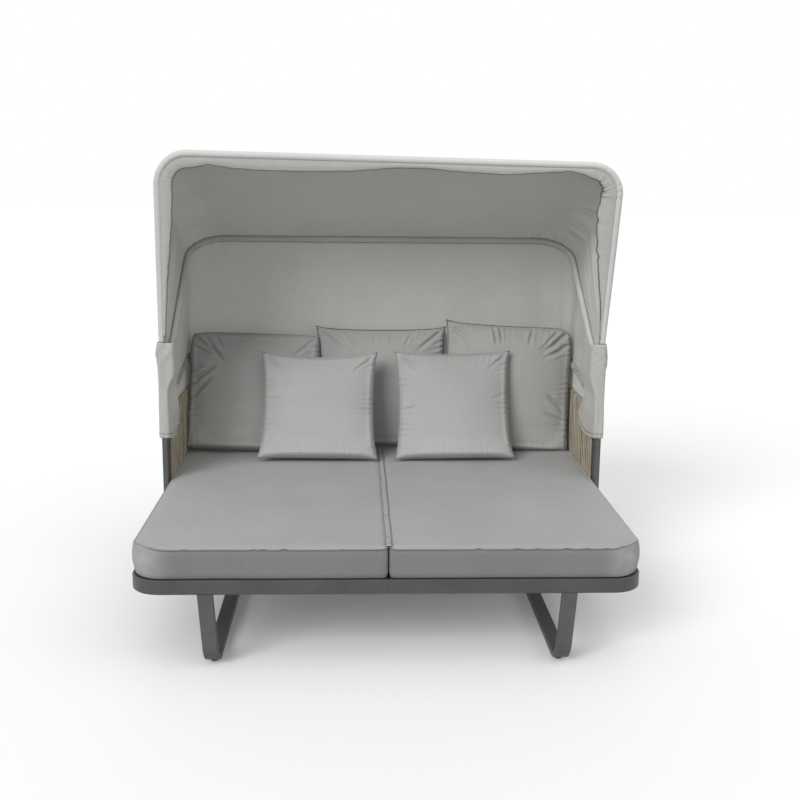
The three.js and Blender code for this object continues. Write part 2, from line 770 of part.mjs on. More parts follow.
// Pivot bracket: a base on the post's end with a rounded tongue that carries the bolt.
function pivotBracket() {
  const tongue = new THREE.Shape();
  const half = tongueRadius;
  tongue.moveTo(postPlace - half, pivotHeight - bracketDrop - weldOverlap);
  tongue.lineTo(postPlace + half, pivotHeight - bracketDrop - weldOverlap);
  tongue.absarc(postPlace, pivotHeight, half, 0, Math.PI, false);
  tongue.closePath();
  const plate = standingPlate(tongue, tongueThickness, 0, frontHoopHalf - tongueThickness / 2);
  const base = new THREE.BoxGeometry(armTube, postDepth, bracketBase)
    .translate(frontHoopHalf, postPlace, pivotHeight - bracketDrop - bracketBase / 2);
  return cut(joined(plate, base), pivotDrill());
}

function pivotDrill() {
  return drillX(pivotBoltRadius + boreGap, rearHoopHalf - 2 * hoopTubeRadius, armOuter + hoopTubeRadius,
    postPlace, pivotHeight);
}

function pivotHardware() {
  const inner = rearHoopHalf - hoopTubeRadius;
  const outer = frontHoopHalf + hoopTubeRadius + fitGap;
  const shank = outer + capGrip - fitGap - (inner - fitGap);
  const bolt = turned([[0, -pivotHeadHeight], [boltHeadRadius * 0.8, -pivotHeadHeight],
    [boltHeadRadius, -pivotHeadHeight / 2], [boltHeadRadius, 0], [pivotBoltRadius, 0],
    [pivotBoltRadius, shank], [0, shank]]);
  addPair("pivot_bolt", alongX(bolt, inner - fitGap, postPlace, pivotHeight), steel);
  const spacerLength = hoopSpacing - 2 * hoopTubeRadius - 2 * fitGap;
  const bore = pivotBoltRadius + boreGap;
  const spacer = turned([[bore, 0], [boltHeadRadius, 0], [boltHeadRadius, spacerLength],
    [bore, spacerLength], [bore, 0]]);
  addPair("pivot_spacer", alongX(spacer, rearHoopHalf + hoopTubeRadius + fitGap, postPlace, pivotHeight),
    blackPlastic);
  const cap = turned([[bore, 0], [capRadius, 0], [capRadius, capHeight / 2], [capRadius * 0.8, capHeight * 0.85],
    [capRadius * 0.4, capHeight], [0, capHeight], [0, capGrip], [bore, capGrip], [bore, 0]]);
  addPair("pivot_cap_nut", alongX(cap, outer, postPlace, pivotHeight), blackPlastic);
}

addPair("pivot_bracket", pivotBracket(), darkFrame);
pivotHardware();

// A point of a hoop's own plane: radial is along the leg from the pivot, depth is square to the plane.
// The rack grows from the sleeve's foot and is full in the front hoop; the rear hoop stands square.
function inHoop(lean, x, radial, depth) {
  const angle = THREE.MathUtils.degToRad(lean);
  const racked = (rearHoopLean - lean) / (rearHoopLean - frontHoopLean);
  const rise = racked * Math.max(0, radial - sleeveStart);
  const reach = radial + (rise / (hoopLength - sleeveStart)) * (rackRise - rackTiltShare * x);
  return new THREE.Vector3(x + rackAsideShare * rise,
    postPlace + reach * Math.sin(angle) + depth * Math.cos(angle),
    pivotHeight + reach * Math.cos(angle) - depth * Math.sin(angle));
}

// Stations along a hoop from the right leg over the top to the left leg: {x, radial, out: [x, radial]}.
function hoopStations(half, corner, start, legCells, cornerCells, topCells) {
  const right = [];
  const shoulder = hoopLength - corner;
  for (let i = 0; i < legCells; i++) {
    right.push({ x: half, radial: mix(start, shoulder, i / legCells), out: [1, 0] });
  }
  for (let i = 0; i <= cornerCells; i++) {
    const angle = (i / cornerCells) * (Math.PI / 2);
    const [c, s] = [Math.cos(angle), Math.sin(angle)];
    right.push({ x: half - corner + corner * c, radial: shoulder + corner * s, out: [c, s] });
  }
  const reach = half - corner;
  for (let i = 1; i < topCells; i++) {
    const x = mix(reach, -reach, i / topCells);
    if (i < topCells / 2) right.push({ x, radial: hoopLength, out: [0, 1] });
  }
  const left = right.map(({ x, radial, out }) => ({ x: -x, radial, out: [-out[0], out[1]] })).reverse();
  return [...right, { x: 0, radial: hoopLength, out: [0, 1] }, ...left];
}

function hoopFrames(lean, stations) {
  return stations.map(({ x, radial, out }) => {
    const place = inHoop(lean, x, radial, 0);
    return {
      place,
      across: inHoop(lean, x + out[0], radial + out[1], 0).sub(place),
      up: inHoop(lean, x, radial, 1).sub(place),
    };
  });
}

function hoop(lean, half, corner) {
  const foot = { x: half, radial: -hoopTail, out: [1, 0] };
  const upper = hoopStations(half, corner, sleeveStart, 1, cornerSteps, 2);
  const stations = [foot, ...upper, { ...foot, x: -half, out: [-1, 0] }];
  return sweptBar(hoopFrames(lean, stations), circle(hoopTubeRadius));
}

function frontHoop() {
  const slot = tongueThickness + 2 * runningGap;
  const length = hoopTail + cutOverrun + forkSlotLength;
  const slots = [-1, 1].map((side) => {
    const box = new THREE.BoxGeometry(slot, 2 * hoopTubeRadius + cutOverrun, length);
    const angle = THREE.MathUtils.degToRad(frontHoopLean);
    const middle = inHoop(frontHoopLean, side * frontHoopHalf, forkSlotLength - length / 2, 0);
    return box.rotateX(-angle).translate(middle.x, middle.y, middle.z);
  });
  return cut(hoop(frontHoopLean, frontHoopHalf, frontHoopCorner), ...slots, pivotDrill(),
    mirrored(pivotDrill()));
}

function rearHoop() {
  return cut(hoop(rearHoopLean, rearHoopHalf, rearHoopCorner), pivotDrill(), mirrored(pivotDrill()));
}

function hoopSleeve(lean, half, corner) {
  const stations = hoopStations(half, corner, sleeveStart, 1, cornerSteps, 2);
  const bore = (hoopTubeRadius + fitGap) / Math.cos(Math.PI / sleeveSides);
  return sweptSleeve(hoopFrames(lean, stations), circle(sleeveRadius, sleeveSides), circle(bore, sleeveSides));
}

addPiece("front_hoop", frontHoop(), darkFrame);
addPiece("rear_hoop", rearHoop(), darkFrame);
addPiece("front_hoop_sleeve", hoopSleeve(frontHoopLean, frontHoopHalf, frontHoopCorner), canopyCloth);
addPiece("rear_hoop_sleeve", hoopSleeve(rearHoopLean, rearHoopHalf, rearHoopCorner), canopyCloth);

// Where cloth meets a sleeve: outside the hoop, towards the front (-1) or the rear (1).
function sleeveEdge(lean, station, towards) {
  const face = sleeveRadius * Math.cos(Math.PI / sleeveSides);
  const reach = (face + fitGap + clothThickness / 2) * Math.SQRT1_2;
  return inHoop(lean, station.x + station.out[0] * reach, station.radial + station.out[1] * reach,
    towards * reach);
}

const legCells = 4;
const clothCorner = cornerSteps;
const topCells = 6;

// Front panel: roof and sides in one sheet from hoop to hoop, sagging between them.
function frontPanel() {
  const front = hoopStations(frontHoopHalf, frontHoopCorner, sleeveStart, legCells, clothCorner, topCells);
  const rear = hoopStations(rearHoopHalf, rearHoopCorner, sleeveStart, legCells, clothCorner, topCells);
  const across = 6;
  const grid = front.map((station, i) => {
    const start = sleeveEdge(frontHoopLean, station, 1);
    const end = sleeveEdge(rearHoopLean, rear[i], -1);
    return Array.from({ length: across + 1 }, (_, j) => {
      const t = j / across;
      const hang = Math.sin(Math.PI * t);
      const point = start.clone().lerp(end, t);
      const [outX, outUp] = station.out;
      const wide = smooth((station.radial - sleeveStart) / hoopLength);
      point.x -= outX * hang * (roofSag * wide * 0.6 + sideFold * Math.sin(4 * Math.PI * t));
      point.z -= outUp * hang * roofSag;
      return point;
    });
  });
  return sheet(grid, clothThickness);
}

// The two ends of the gathered hem over an arm.
function sideHemEnds() {
  return [new THREE.Vector3(frontHoopHalf, sideHemStart, armTop + sideHemRise),
    new THREE.Vector3(frontHoopHalf, sideHemEnd, armTop + sideHemRearRise)];
}

// Rear panel: from the rear hoop down behind the back, with a side wall each side down to the gathered hem.
function rearPanel() {
  const stations = hoopStations(rearHoopHalf, rearHoopCorner, sleeveStart, legCells, clothCorner, topCells);
  const lift = sideHemRadius + sideHemGather + fitGap;
  const [low, high] = sideHemEnds().map((end) => end.setZ(end.z + lift));
  const tail = new THREE.Vector3(frontHoopHalf - rearCornerInset, rearClothPlace, rearHemHeight);
  const bend = new THREE.QuadraticBezierCurve3(high,
    new THREE.Vector3(frontHoopHalf, rearClothPlace, mix(high.z, tail.z, 0.4)), tail);
  const half = [];
  for (let i = 0; i < legCells; i++) half.push(low.clone().lerp(high, i / legCells));
  for (let i = 0; i <= clothCorner; i++) half.push(bend.getPoint(i / clothCorner));
  for (let i = 1; i < topCells / 2; i++) {
    half.push(tail.clone().setX(mix(tail.x, 0, i / (topCells / 2))));
  }
  const mirror = half.map((p) => new THREE.Vector3(-p.x, p.y, p.z)).reverse();
  const hem = [...half, new THREE.Vector3(0, rearClothPlace, rearHemHeight), ...mirror];
  const down = 4;
  const grid = stations.map((station, i) => {
    const start = sleeveEdge(rearHoopLean, station, 1);
    return Array.from({ length: down + 1 }, (_, j) => {
      const t = j / down;
      const point = start.clone().lerp(hem[i], t);
      point.x += station.out[0] * sideFold * Math.sin(Math.PI * t) * Math.cos(3 * Math.PI * t);
      return point;
    });
  });
  return sheet(grid, clothThickness);
}

// Facing: a gathered valance on the inner side of the front hoop, its free edge wavy.
function facing() {
  const stations = hoopStations(frontHoopHalf, frontHoopCorner, sleeveStart + facingStart, 5, cornerSteps, 18);
  const reach = frontHoopHalf - frontHoopCorner;
  const gather = sleeveRadius * 0.8;
  const grid = stations.map((station, i) => {
    const { x, radial, out } = station;
    const along = smooth((radial - sleeveStart) / (hoopLength - sleeveStart - frontHoopCorner));
    const wave = out[1] === 1 ? Math.cos((x / reach) * 1.6 * Math.PI + 0.6) : 0.4;
    const width = gather + facingStart + (facingTop - sleeveRadius) * along + facingWave * wave * along;
    return [0, 1].map((t) => {
      const inset = mix(gather, width, t);
      const ripple = facingWave * 0.12 * t * (i % 2 ? 1 : -1);
      return inHoop(frontHoopLean, x - out[0] * inset, radial - out[1] * inset,
        -facingFrontOffset - clothThickness / 2 + ripple);
    });
  });
  return sheet(grid, clothThickness);
}

// Side hem: the gathered roll at the lower edge of each side wall, over the arm rail.
function sideHem() {
  const rings = 12;
  const [start, end] = sideHemEnds();
  const run = end.clone().sub(start).normalize();
  const across = new THREE.Vector3(1, 0, 0);
  const up = new THREE.Vector3().crossVectors(across, run);
  const frames = Array.from({ length: rings + 1 }, (_, i) => ({
    place: start.clone().lerp(end, i / rings),
    across,
    up,
    swell: 1 + (i % 2 ? 1 : -1) * (sideHemGather / sideHemRadius),
  }));
  return sweptBar(frames, circle(sideHemRadius, 6));
}

// Corner cover: cloth round the post and the pivot, open to the rear, with a flap inside the arm.
function cornerCover() {
  const levels = [[coverHem, armTop, 3], [armTop, pivotHeight, 4], [pivotHeight, coverTop, 2]];
  const heights = levels.flatMap(([low, high, cells]) =>
    Array.from({ length: cells }, (_, i) => mix(low, high, i / cells)));
  const outerWall = frontHoopHalf + sleeveRadius + coverOuterGap + clothThickness / 2;
  const front = postFront - coverFrontGap - clothThickness / 2;
  const coverRearTop = postPlace + coverTopRun;
  const coverRearFlap = postPlace + coverFlapRun;
  const grid = [];
  for (const high of [...heights, coverTop]) {
    const t = (high - coverHem) / (coverTop - coverHem);
    const taper = smooth((high - pivotHeight + coverTaperStart) / (coverTaperStart - coverTaperEnd));
    const inner = mix(armInner - coverInnerLip, armInner - coverInnerReach, taper);
    const outerRear = mix(postRear + coverRearLap, coverRearTop,
      smooth((high - armTop) / (pivotHeight - coverTaperEnd - armTop)));
    const flapTop = armTop + flapRise;
    const flap = mix(coverRearFlap, sideHemStart, Math.min(1, (high - coverHem) / (flapTop - coverHem)));
    const innerRear = high < flapTop ? flap : mix(sideHemStart, coverRearTop,
      smooth((high - flapTop) / (coverTop - flapTop)));
    const round = clothThickness * 2;
    const hemShare = 1 - smooth(t * 2);
    const row = [];
    const add = (x, y, drop) => row.push(new THREE.Vector3(x, y, high + drop * hemShare));
    for (const y of [outerRear, mix(postPlace, outerRear, 0.45), postPlace]) {
      const near = Math.hypot(y - postPlace, high - pivotHeight) / coverBulgeSpread;
      add(outerWall + coverBulge * Math.exp(-near * near), y, 0);
    }
    add(outerWall, front + round, 0);
    add(outerWall - round, front, 0);
    add(inner + round, front, 0);
    add(inner, front + round, 0);
    for (const s of [0.12, 0.3, 0.6, 1]) {
      const dip = -coverHemDip * Math.sin(Math.PI * s) + coverHemLift * s * s;
      add(inner, mix(front + round, innerRear, s), dip);
    }
    grid.push(row);
  }
  return sheet(grid, clothThickness);
}

addPiece("canopy_front_panel", frontPanel(), canopyCloth);
addPiece("canopy_rear_panel", rearPanel(), canopyCloth);
addPiece("canopy_facing", facing(), canopyCloth);
addPair("side_hem", sideHem(), canopyCloth);
addPair("corner_cover", cornerCover(), canopyCloth);

// Seat cushion: a box cushion with a round-cornered plan, drawn-in sides, rounded edges and a crowned top.
function cushionOutline(inset) {
  const x0 = cushionCentreGap + inset;
  const x1 = seatHalfWidth - cushionSideInset - inset;
  const y0 = -halfDepth + cushionFrontInset + inset;
  const y1 = backRopeFace - cushionRearGap - inset;
  const corners = [
    [x0, y0, cushionCentreCorner, 1], [x1, y0, railCornerRadius, 2],
    [x1, y1, cushionRearCorner, 3], [x0, y1, cushionCentreCorner, 4],
  ];
  const ring = [];
  corners.forEach(([x, y, radius, quarter], i) => {
    const r = Math.max(radius - inset, radius * 0.35);
    const cx = x + (quarter === 1 || quarter === 4 ? r : -r);
    const cy = y + (quarter < 3 ? r : -r);
    const steps = 3;
    for (let k = 0; k <= steps; k++) {
      const angle = Math.PI + ((i + k / steps) * Math.PI) / 2;
      ring.push([cx + r * Math.cos(angle), cy + r * Math.sin(angle), 0]);
    }
    const [nx, ny, nr] = corners[(i + 1) % 4];
    const [sx, sy] = [ring.at(-1)[0], ring.at(-1)[1]];
    const nextR = Math.max(nr - inset, nr * 0.35);
    const ends = [[nx - nextR, y], [x, ny - nextR], [nx + nextR, y], [x, ny + nextR]][i];
    const cells = 5;
    for (let k = 1; k < cells; k++) {
      ring.push([mix(sx, ends[0], k / cells), mix(sy, ends[1], k / cells), Math.sin((Math.PI * k) / cells), i]);
    }
  });
  return ring;
}

function seatCushion() {
  const inward = [[0, 1], [-1, 0], [0, -1], [1, 0]];
  const ringAt = (inset, height, drawn) => cushionOutline(inset).map(([x, y, share, side]) => {
    const pull = share ? share * cushionDrawIn * drawn : 0;
    const [ix, iy] = share ? inward[side] : [0, 0];
    return new THREE.Vector3(x + ix * pull, y + iy * pull, height);
  });
  const low = cushionUnderside;
  const crownShares = [[0.35, 0.62], [0.7, 0.92], [1, 1]];
  return lofted([
    ringAt(cushionRound, low, 1),
    ringAt(cushionRound / 4, low + cushionRound, 1),
    ringAt(0, low + cushionThickness / 2, 0.5),
    ringAt(cushionRound / 4, seamHeight - cushionRound, 1),
    ringAt(cushionRound, seamHeight, 1),
    ...crownShares.map(([run, rise]) => ringAt(crownRun * run, seamHeight + cushionCrown * rise, 0)),
  ]);
}

// The joining strip lies along the seam between the two cushions.
function joiningStrip() {
  const cells = 5;
  const height = seamHeight + fitGap + stripThickness / 2;
  const grid = Array.from({ length: cells + 1 }, (_, i) => {
    const y = mix(stripFrontInset - halfDepth, backRopeFace - stripRearGap, i / cells);
    return [-1, 1].map((side) => new THREE.Vector3((side * stripWidth) / 2, y, height));
  });
  return sheet(grid, stripThickness);
}

addPair("seat_cushion", seatCushion(), seatCloth);
addPiece("cushion_joining_strip", joiningStrip(), seatCloth);

// Pillow: two swelling faces that meet in a seam, with pointed corners and sides drawn in between them.
function pillow({ middle, foot, width, height, swell }, { lean, roll }) {
  const n = pillowCells;
  const drawIn = 0.055;
  const tilt = THREE.MathUtils.degToRad(lean);
  const turn = THREE.MathUtils.degToRad(roll);
  const place = (i, j, side) => {
    const u = Math.sin((i / n - 0.5) * Math.PI);
    const v = Math.sin((j / n - 0.5) * Math.PI);
    const x = (width / 2) * u * (1 - drawIn * (1 - v * v));
    const h = (height / 2) * v * (1 - drawIn * (1 - u * u));
    const fill = Math.pow((1 - u * u) * (1 - v * v), 0.42);
    const rolledX = x * Math.cos(turn) + h * Math.sin(turn);
    const rolledH = h * Math.cos(turn) - x * Math.sin(turn) + height / 2;
    const point = new THREE.Vector3(
      middle + rolledX,
      foot + rolledH * Math.sin(tilt) + side * swell * fill * Math.cos(tilt),
      crownTop - pillowSink + rolledH * Math.cos(tilt) - side * swell * fill * Math.sin(tilt));
    point.z = Math.max(point.z, crownTop + pillowSeatGap);
    point.x = THREE.MathUtils.clamp(point.x, pillowSideGap - ropeFace, ropeFace - pillowSideGap);
    if (point.z < armTop + pillowRailGap) point.y = Math.min(point.y, backRopeFace - pillowSeatGap);
    return point;
  };
  const points = [];
  const index = new Map();
  const corner = (i, j, side) => {
    const rim = i === 0 || j === 0 || i === n || j === n;
    const key = (rim ? 0 : side) + ":" + i + ":" + j;
    if (!index.has(key)) index.set(key, points.push(place(i, j, rim ? 0 : side)) - 1);
    return index.get(key);
  };
  const triangles = [];
  for (const side of [-1, 1]) {
    for (let i = 0; i < n; i++) {
      for (let j = 0; j < n; j++) {
        const [a, b, c, d] = [[i, j], [i + 1, j], [i + 1, j + 1], [i, j + 1]].map(([p, q]) => corner(p, q, side));
        triangles.push(side < 0 ? [a, b, c] : [a, c, b], side < 0 ? [a, c, d] : [a, d, c]);
      }
    }
  }
  return closedSolid(points, triangles);
}

const pillowRoom = (2 * ropeFace) / 3;
for (const [name, share] of Object.entries(backPillowShares)) {
  const size = {
    middle: pillowRoom * share.middle,
    foot: backRopeFace - backPillowSetBack * share.foot,
    width: pillowRoom * share.width,
    height: backPillowHeight * share.height,
    swell: backPillowSwell * share.swell,
  };
  addPiece(name, pillow(size, pillowAngles[name]), pillowCloth);
}
for (const [name, share] of Object.entries(scatterPillowShares)) {
  const size = {
    middle: scatterPillowSpacing * share.middle,
    foot: backRopeFace - scatterPillowSetBack * share.foot,
    width: scatterPillowWidth,
    height: scatterPillowHeight,
    swell: scatterPillowSwell,
  };
  addPiece(name, pillow(size, pillowAngles[name]), seatCloth);
}

export default daybed;
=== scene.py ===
import math

import bpy
import numpy as np
from mathutils import Matrix, Vector


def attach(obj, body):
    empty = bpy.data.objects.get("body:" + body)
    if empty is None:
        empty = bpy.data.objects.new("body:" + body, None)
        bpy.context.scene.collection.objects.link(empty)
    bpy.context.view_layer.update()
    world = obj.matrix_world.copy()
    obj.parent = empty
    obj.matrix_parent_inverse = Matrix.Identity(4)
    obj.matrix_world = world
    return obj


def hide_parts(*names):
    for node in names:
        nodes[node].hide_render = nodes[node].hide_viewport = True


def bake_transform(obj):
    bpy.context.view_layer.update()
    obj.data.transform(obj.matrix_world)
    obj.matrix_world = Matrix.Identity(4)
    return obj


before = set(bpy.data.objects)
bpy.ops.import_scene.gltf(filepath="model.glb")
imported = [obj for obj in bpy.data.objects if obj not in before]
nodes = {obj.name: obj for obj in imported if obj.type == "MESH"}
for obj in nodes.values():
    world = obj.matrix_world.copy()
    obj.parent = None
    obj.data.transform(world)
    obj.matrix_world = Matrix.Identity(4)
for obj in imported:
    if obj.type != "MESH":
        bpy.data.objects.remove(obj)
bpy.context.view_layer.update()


# Camera: a 50 mm lens on a square frame at standing height, straight on and a little to the left of
# the middle, looking slightly down at the open front of the daybed.
def add_object(name, data):
    made = bpy.data.objects.new(name, data)
    bpy.context.scene.collection.objects.link(made)
    return made


camera_place = Vector((-0.1168, -4.4548, 1.6985))
camera_yaw, camera_pitch, camera_roll = (math.radians(a) for a in (2.355, 11.316, 0.578))
looks_along = Vector((math.sin(camera_yaw) * math.cos(camera_pitch),
                      math.cos(camera_yaw) * math.cos(camera_pitch), -math.sin(camera_pitch)))
level_right = Vector((math.cos(camera_yaw), -math.sin(camera_yaw), 0))
level_up = level_right.cross(looks_along)
camera_right = level_right * math.cos(camera_roll) + level_up * math.sin(camera_roll)
camera_up = level_up * math.cos(camera_roll) - level_right * math.sin(camera_roll)
camera_data = bpy.data.cameras.new("product_camera")
camera_data.lens = 49.5
camera_data.sensor_width = 36
camera = add_object("product_camera", camera_data)
turned = Matrix((camera_right, camera_up, -looks_along)).transposed().to_4x4()
camera.matrix_world = Matrix.Translation(camera_place) @ turned
bpy.context.scene.camera = camera
bpy.context.scene.view_settings.view_transform = "Standard"


# Studio: a white floor that runs into a white background, an even sky with soft lights over the
# front, behind the canopy and from the right, and one broad lamp at the front left whose soft shadow
# falls to the right and the rear.
def linear(code):
    """Linear red, green and blue of a colour written as #RRGGBB."""
    parts = [int(code[i:i + 2], 16) / 255 for i in (1, 3, 5)]
    return [p / 12.92 if p <= 0.04045 else ((p + 0.055) / 1.055) ** 2.4 for p in parts]


def new_material(name):
    material = bpy.data.materials.new(name)
    material.use_nodes = True
    tree = material.node_tree
    return material, tree, tree.nodes["Principled BSDF"]


def feed(tree, made, **inputs):
    """Gives a node's inputs their values, or the sockets that feed them. i0 is the first input."""
    for key, value in inputs.items():
        numbered = key[0] == "i" and key[1:].isdigit()
        socket = made.inputs[int(key[1:]) if numbered else key.replace("_", " ")]
        if isinstance(value, bpy.types.NodeSocket):
            tree.links.new(value, socket)
        else:
            socket.default_value = value
    return made


def node(tree, kind, settings=None, **inputs):
    made = tree.nodes.new(kind)
    for key, value in (settings or {}).items():
        setattr(made, key, value)
    return feed(tree, made, **inputs)


def maths(tree, operation, *values):
    """The result of a sum. Each value is a number or the socket that feeds it."""
    inputs = {f"i{k}": value for k, value in enumerate(values)}
    return node(tree, "ShaderNodeMath", {"operation": operation}, **inputs).outputs[0]


def seen_straight_or_in_gloss(tree):
    """1 for rays from the camera, a reflection or clear glass, 0 for those that light the object."""
    path = node(tree, "ShaderNodeLightPath").outputs
    either = maths(tree, "MAXIMUM", path["Is Camera Ray"], path["Is Glossy Ray"])
    return maths(tree, "MAXIMUM", either, path["Is Transmission Ray"])


sky_even, patch_falloff = 0.22, 4.0
sky_patches = [((0.0, -0.42, 0.91), 0.80), ((0.0, -0.95, 0.30), 0.30), ((0.0, 0.95, 0.30), 1.40),
               ((0.88, -0.40, 0.20), 0.90)]
lamp_strength, lamp_width = 1.85, math.radians(30)
lamp_from = Vector((-0.52, -0.74, 0.50))
floor_reach, white = 60, (1, 1, 1, 1)
seen_floor_grey, lighting_floor_grey, floor_glow = 0.90, 0.25, 0.09

world = bpy.data.worlds.new("studio_sky")
world.use_nodes = True
bpy.context.scene.world = world
sky = world.node_tree
sky.nodes.clear()
way = node(sky, "ShaderNodeTexCoord").outputs["Generated"]
light = node(sky, "ShaderNodeValue").outputs[0]
light.default_value = sky_even
for towards, strength in sky_patches:
    facing_it = node(sky, "ShaderNodeVectorMath", {"operation": "DOT_PRODUCT"}, i0=way,
                     i1=Vector(towards).normalized())
    patch = maths(sky, "POWER", maths(sky, "MAXIMUM", facing_it.outputs["Value"], 0.0), patch_falloff)
    light = maths(sky, "MULTIPLY_ADD", patch, strength, light)
plain_sky = node(sky, "ShaderNodeBackground", Color=white, Strength=light)
white_sky = node(sky, "ShaderNodeBackground", Color=white, Strength=1.0)
sky_choice = node(sky, "ShaderNodeMixShader", i0=seen_straight_or_in_gloss(sky),
                  i1=plain_sky.outputs[0], i2=white_sky.outputs[0])
node(sky, "ShaderNodeOutputWorld", Surface=sky_choice.outputs[0])
lamp_data = bpy.data.lights.new("broad_lamp", "SUN")
lamp_data.energy = lamp_strength
lamp_data.angle = lamp_width
lamp = add_object("broad_lamp", lamp_data)
lamp.rotation_mode = "QUATERNION"
lamp.rotation_quaternion = lamp_from.to_track_quat("Z", "Y")

floor_mesh = bpy.data.meshes.new("studio_floor")
floor_corners = [(x * floor_reach, y * floor_reach, 0) for x, y in ((-1, -1), (1, -1), (1, 1), (-1, 1))]
floor_mesh.from_pydata(floor_corners, [], [(0, 1, 2, 3)])
add_object("studio_floor", floor_mesh)
floor_paint, tree, shader = new_material("studio_floor_paint")
tree.nodes.remove(shader)
matt = node(tree, "ShaderNodeBsdfDiffuse", Color=(*[seen_floor_grey] * 3, 1))
glow = node(tree, "ShaderNodeEmission", Color=white, Strength=floor_glow)
seen_floor = node(tree, "ShaderNodeAddShader", i0=matt.outputs[0], i1=glow.outputs[0])
lighting_floor = node(tree, "ShaderNodeBsdfDiffuse", Color=(*[lighting_floor_grey] * 3, 1))
floor_choice = node(tree, "ShaderNodeMixShader", i0=seen_straight_or_in_gloss(tree),
                    i1=lighting_floor.outputs[0], i2=seen_floor.outputs[0])
feed(tree, tree.nodes["Material Output"], Surface=floor_choice.outputs[0])
floor_mesh.materials.append(floor_paint)


# Painted frame: seat rails, slats, sled legs, arm and back frames, brackets and hoops are steel tube
# and flat bar, welded and powder coated dark grey. The coat has a fine orange peel and is a little
# rubbed in places.
def coordinate(tree, kind):
    return node(tree, "ShaderNodeTexCoord").outputs[kind]


def noise(tree, vector, scale, detail, **more):
    return node(tree, "ShaderNodeTexNoise", Vector=vector, Scale=scale, Detail=detail,
                **more).outputs["Fac"]


def ramp(tree, amount, first, last, low=0.0, high=1.0):
    """A colour between two, as the amount goes from low to high."""
    made = node(tree, "ShaderNodeValToRGB", Fac=amount)
    for element, place, colour in zip(made.color_ramp.elements, (low, high), (first, last)):
        element.position = place
        element.color = (*linear(colour), 1)
    return made.outputs["Color"]


def spread(tree, amount, *ends):
    """An amount carried over from one range to another. ends are low, high, new low and new high."""
    inputs = {f"i{k + 1}": value for k, value in enumerate(ends)}
    return node(tree, "ShaderNodeMapRange", Value=amount, **inputs).outputs[0]


def bumps(tree, height, strength, distance):
    return node(tree, "ShaderNodeBump", Strength=strength, Distance=distance, Height=height).outputs[0]


def shade_by_angle(obj, degrees=32):
    """Smooth shading over bends and flat shading over corners. The vertices stay as they are."""
    mesh = obj.data
    mesh.polygons.foreach_set("use_smooth", [True] * len(mesh.polygons))
    faces_at = {}
    for face in mesh.polygons:
        for key in face.edge_keys:
            faces_at.setdefault(key, []).append(face.normal)
    limit = math.cos(math.radians(degrees))
    for edge in mesh.edges:
        sides = faces_at.get(edge.key, [])
        edge.use_edge_sharp = len(sides) == 2 and sides[0].dot(sides[1]) < limit


def dress(material, *names):
    for name in names:
        mesh = nodes[name].data
        mesh.materials.clear()
        mesh.materials.append(material)
        shade_by_angle(nodes[name])


def both_sides(*names):
    return [side + name for name in names for side in ("right_", "left_")]


def powder_coat(name, colour, rubbed):
    material, tree, shader = new_material(name)
    place = coordinate(tree, "Object")
    clouds = noise(tree, place, 9.0, 6.0, Roughness=0.65)
    peel = noise(tree, place, 620.0, 2.0)
    feed(tree, shader, Base_Color=ramp(tree, clouds, colour, rubbed, 0.35, 0.72),
         Roughness=spread(tree, clouds, 0.0, 1.0, 0.40, 0.54), Normal=bumps(tree, peel, 0.10, 0.0006),
         Specular_IOR_Level=0.5)
    return material


frame_coat = powder_coat("powder_coated_steel", "#4B4D4C", "#575957")
# The seat rails take a darker copy of the same powder coat: painted shade.
rail_coat_painted_darker = powder_coat("powder_coat_painted_darker_on_rails", "#424443", "#4E504F")
dress(rail_coat_painted_darker, *both_sides("seat_frame"))
dress(frame_coat, *both_sides("slat_deck", "sled_leg", "arm_frame", "pivot_bracket"),
      "back_frame", "front_hoop", "rear_hoop")


# Bolts and nuts: zinc-plated steel, brushed by handling, and the black plastic glides, spacers and
# cap nuts, which are moulded with a fine grain.
plated_steel, tree, shader = new_material("zinc_plated_steel")
grain = noise(tree, coordinate(tree, "Object"), 240.0, 4.0)
feed(tree, shader, Metallic=0.9, Base_Color=ramp(tree, grain, "#85878A", "#B5B7B9"),
     Roughness=spread(tree, grain, 0.0, 1.0, 0.28, 0.5))
dress(plated_steel, "front_centre_bolt", "rear_centre_bolt", "front_centre_nut", "rear_centre_nut",
      *both_sides("front_glide_nut", "rear_glide_nut", "front_arm_bolt", "rear_arm_bolt",
                  "low_back_bolt", "high_back_bolt", "pivot_bolt"))

black_plastic, tree, shader = new_material("black_moulded_plastic")
grain = noise(tree, coordinate(tree, "Object"), 900.0, 3.0)
feed(tree, shader, Base_Color=ramp(tree, grain, "#141516", "#26282A"), Roughness=0.55,
     Normal=bumps(tree, grain, 0.25, 0.0004))
dress(black_plastic, *both_sides("front_glide", "rear_glide", "pivot_spacer", "pivot_cap_nut"))


# Rope windings: one flat braided rope a side, beige, wound round the upper and lower rails of each
# arm and of each half of the back, in groups of six turns and of four, up the outer face, over the
# rail and down inside.
steps = np.linspace


def smooth(t):
    t = np.clip(t, 0, 1)
    return t * t * (3 - 2 * t)


def grid_faces(rows, columns, wrap=False):
    """Quads over a grid of points held row after row."""
    across = columns if wrap else columns - 1
    i, j = np.meshgrid(np.arange(rows - 1), np.arange(across), indexing="ij")
    a, b = i * columns + j, i * columns + (j + 1) % columns
    return np.stack([a, b, b + columns, a + columns], -1).reshape(-1, 4)


def add_piece(name, points, faces, material, uv):
    mesh = bpy.data.meshes.new(name)
    mesh.from_pydata(np.asarray(points, float).tolist(), [], [list(map(int, f)) for f in faces])
    layer = mesh.uv_layers.new(name="cut")
    corner = np.zeros(len(mesh.loops), int)
    mesh.loops.foreach_get("vertex_index", corner)
    layer.data.foreach_set("uv", np.asarray(uv, np.float32)[corner].ravel())
    mesh.polygons.foreach_set("use_smooth", [True] * len(mesh.polygons))
    mesh.materials.append(material)
    return add_object(name, mesh)


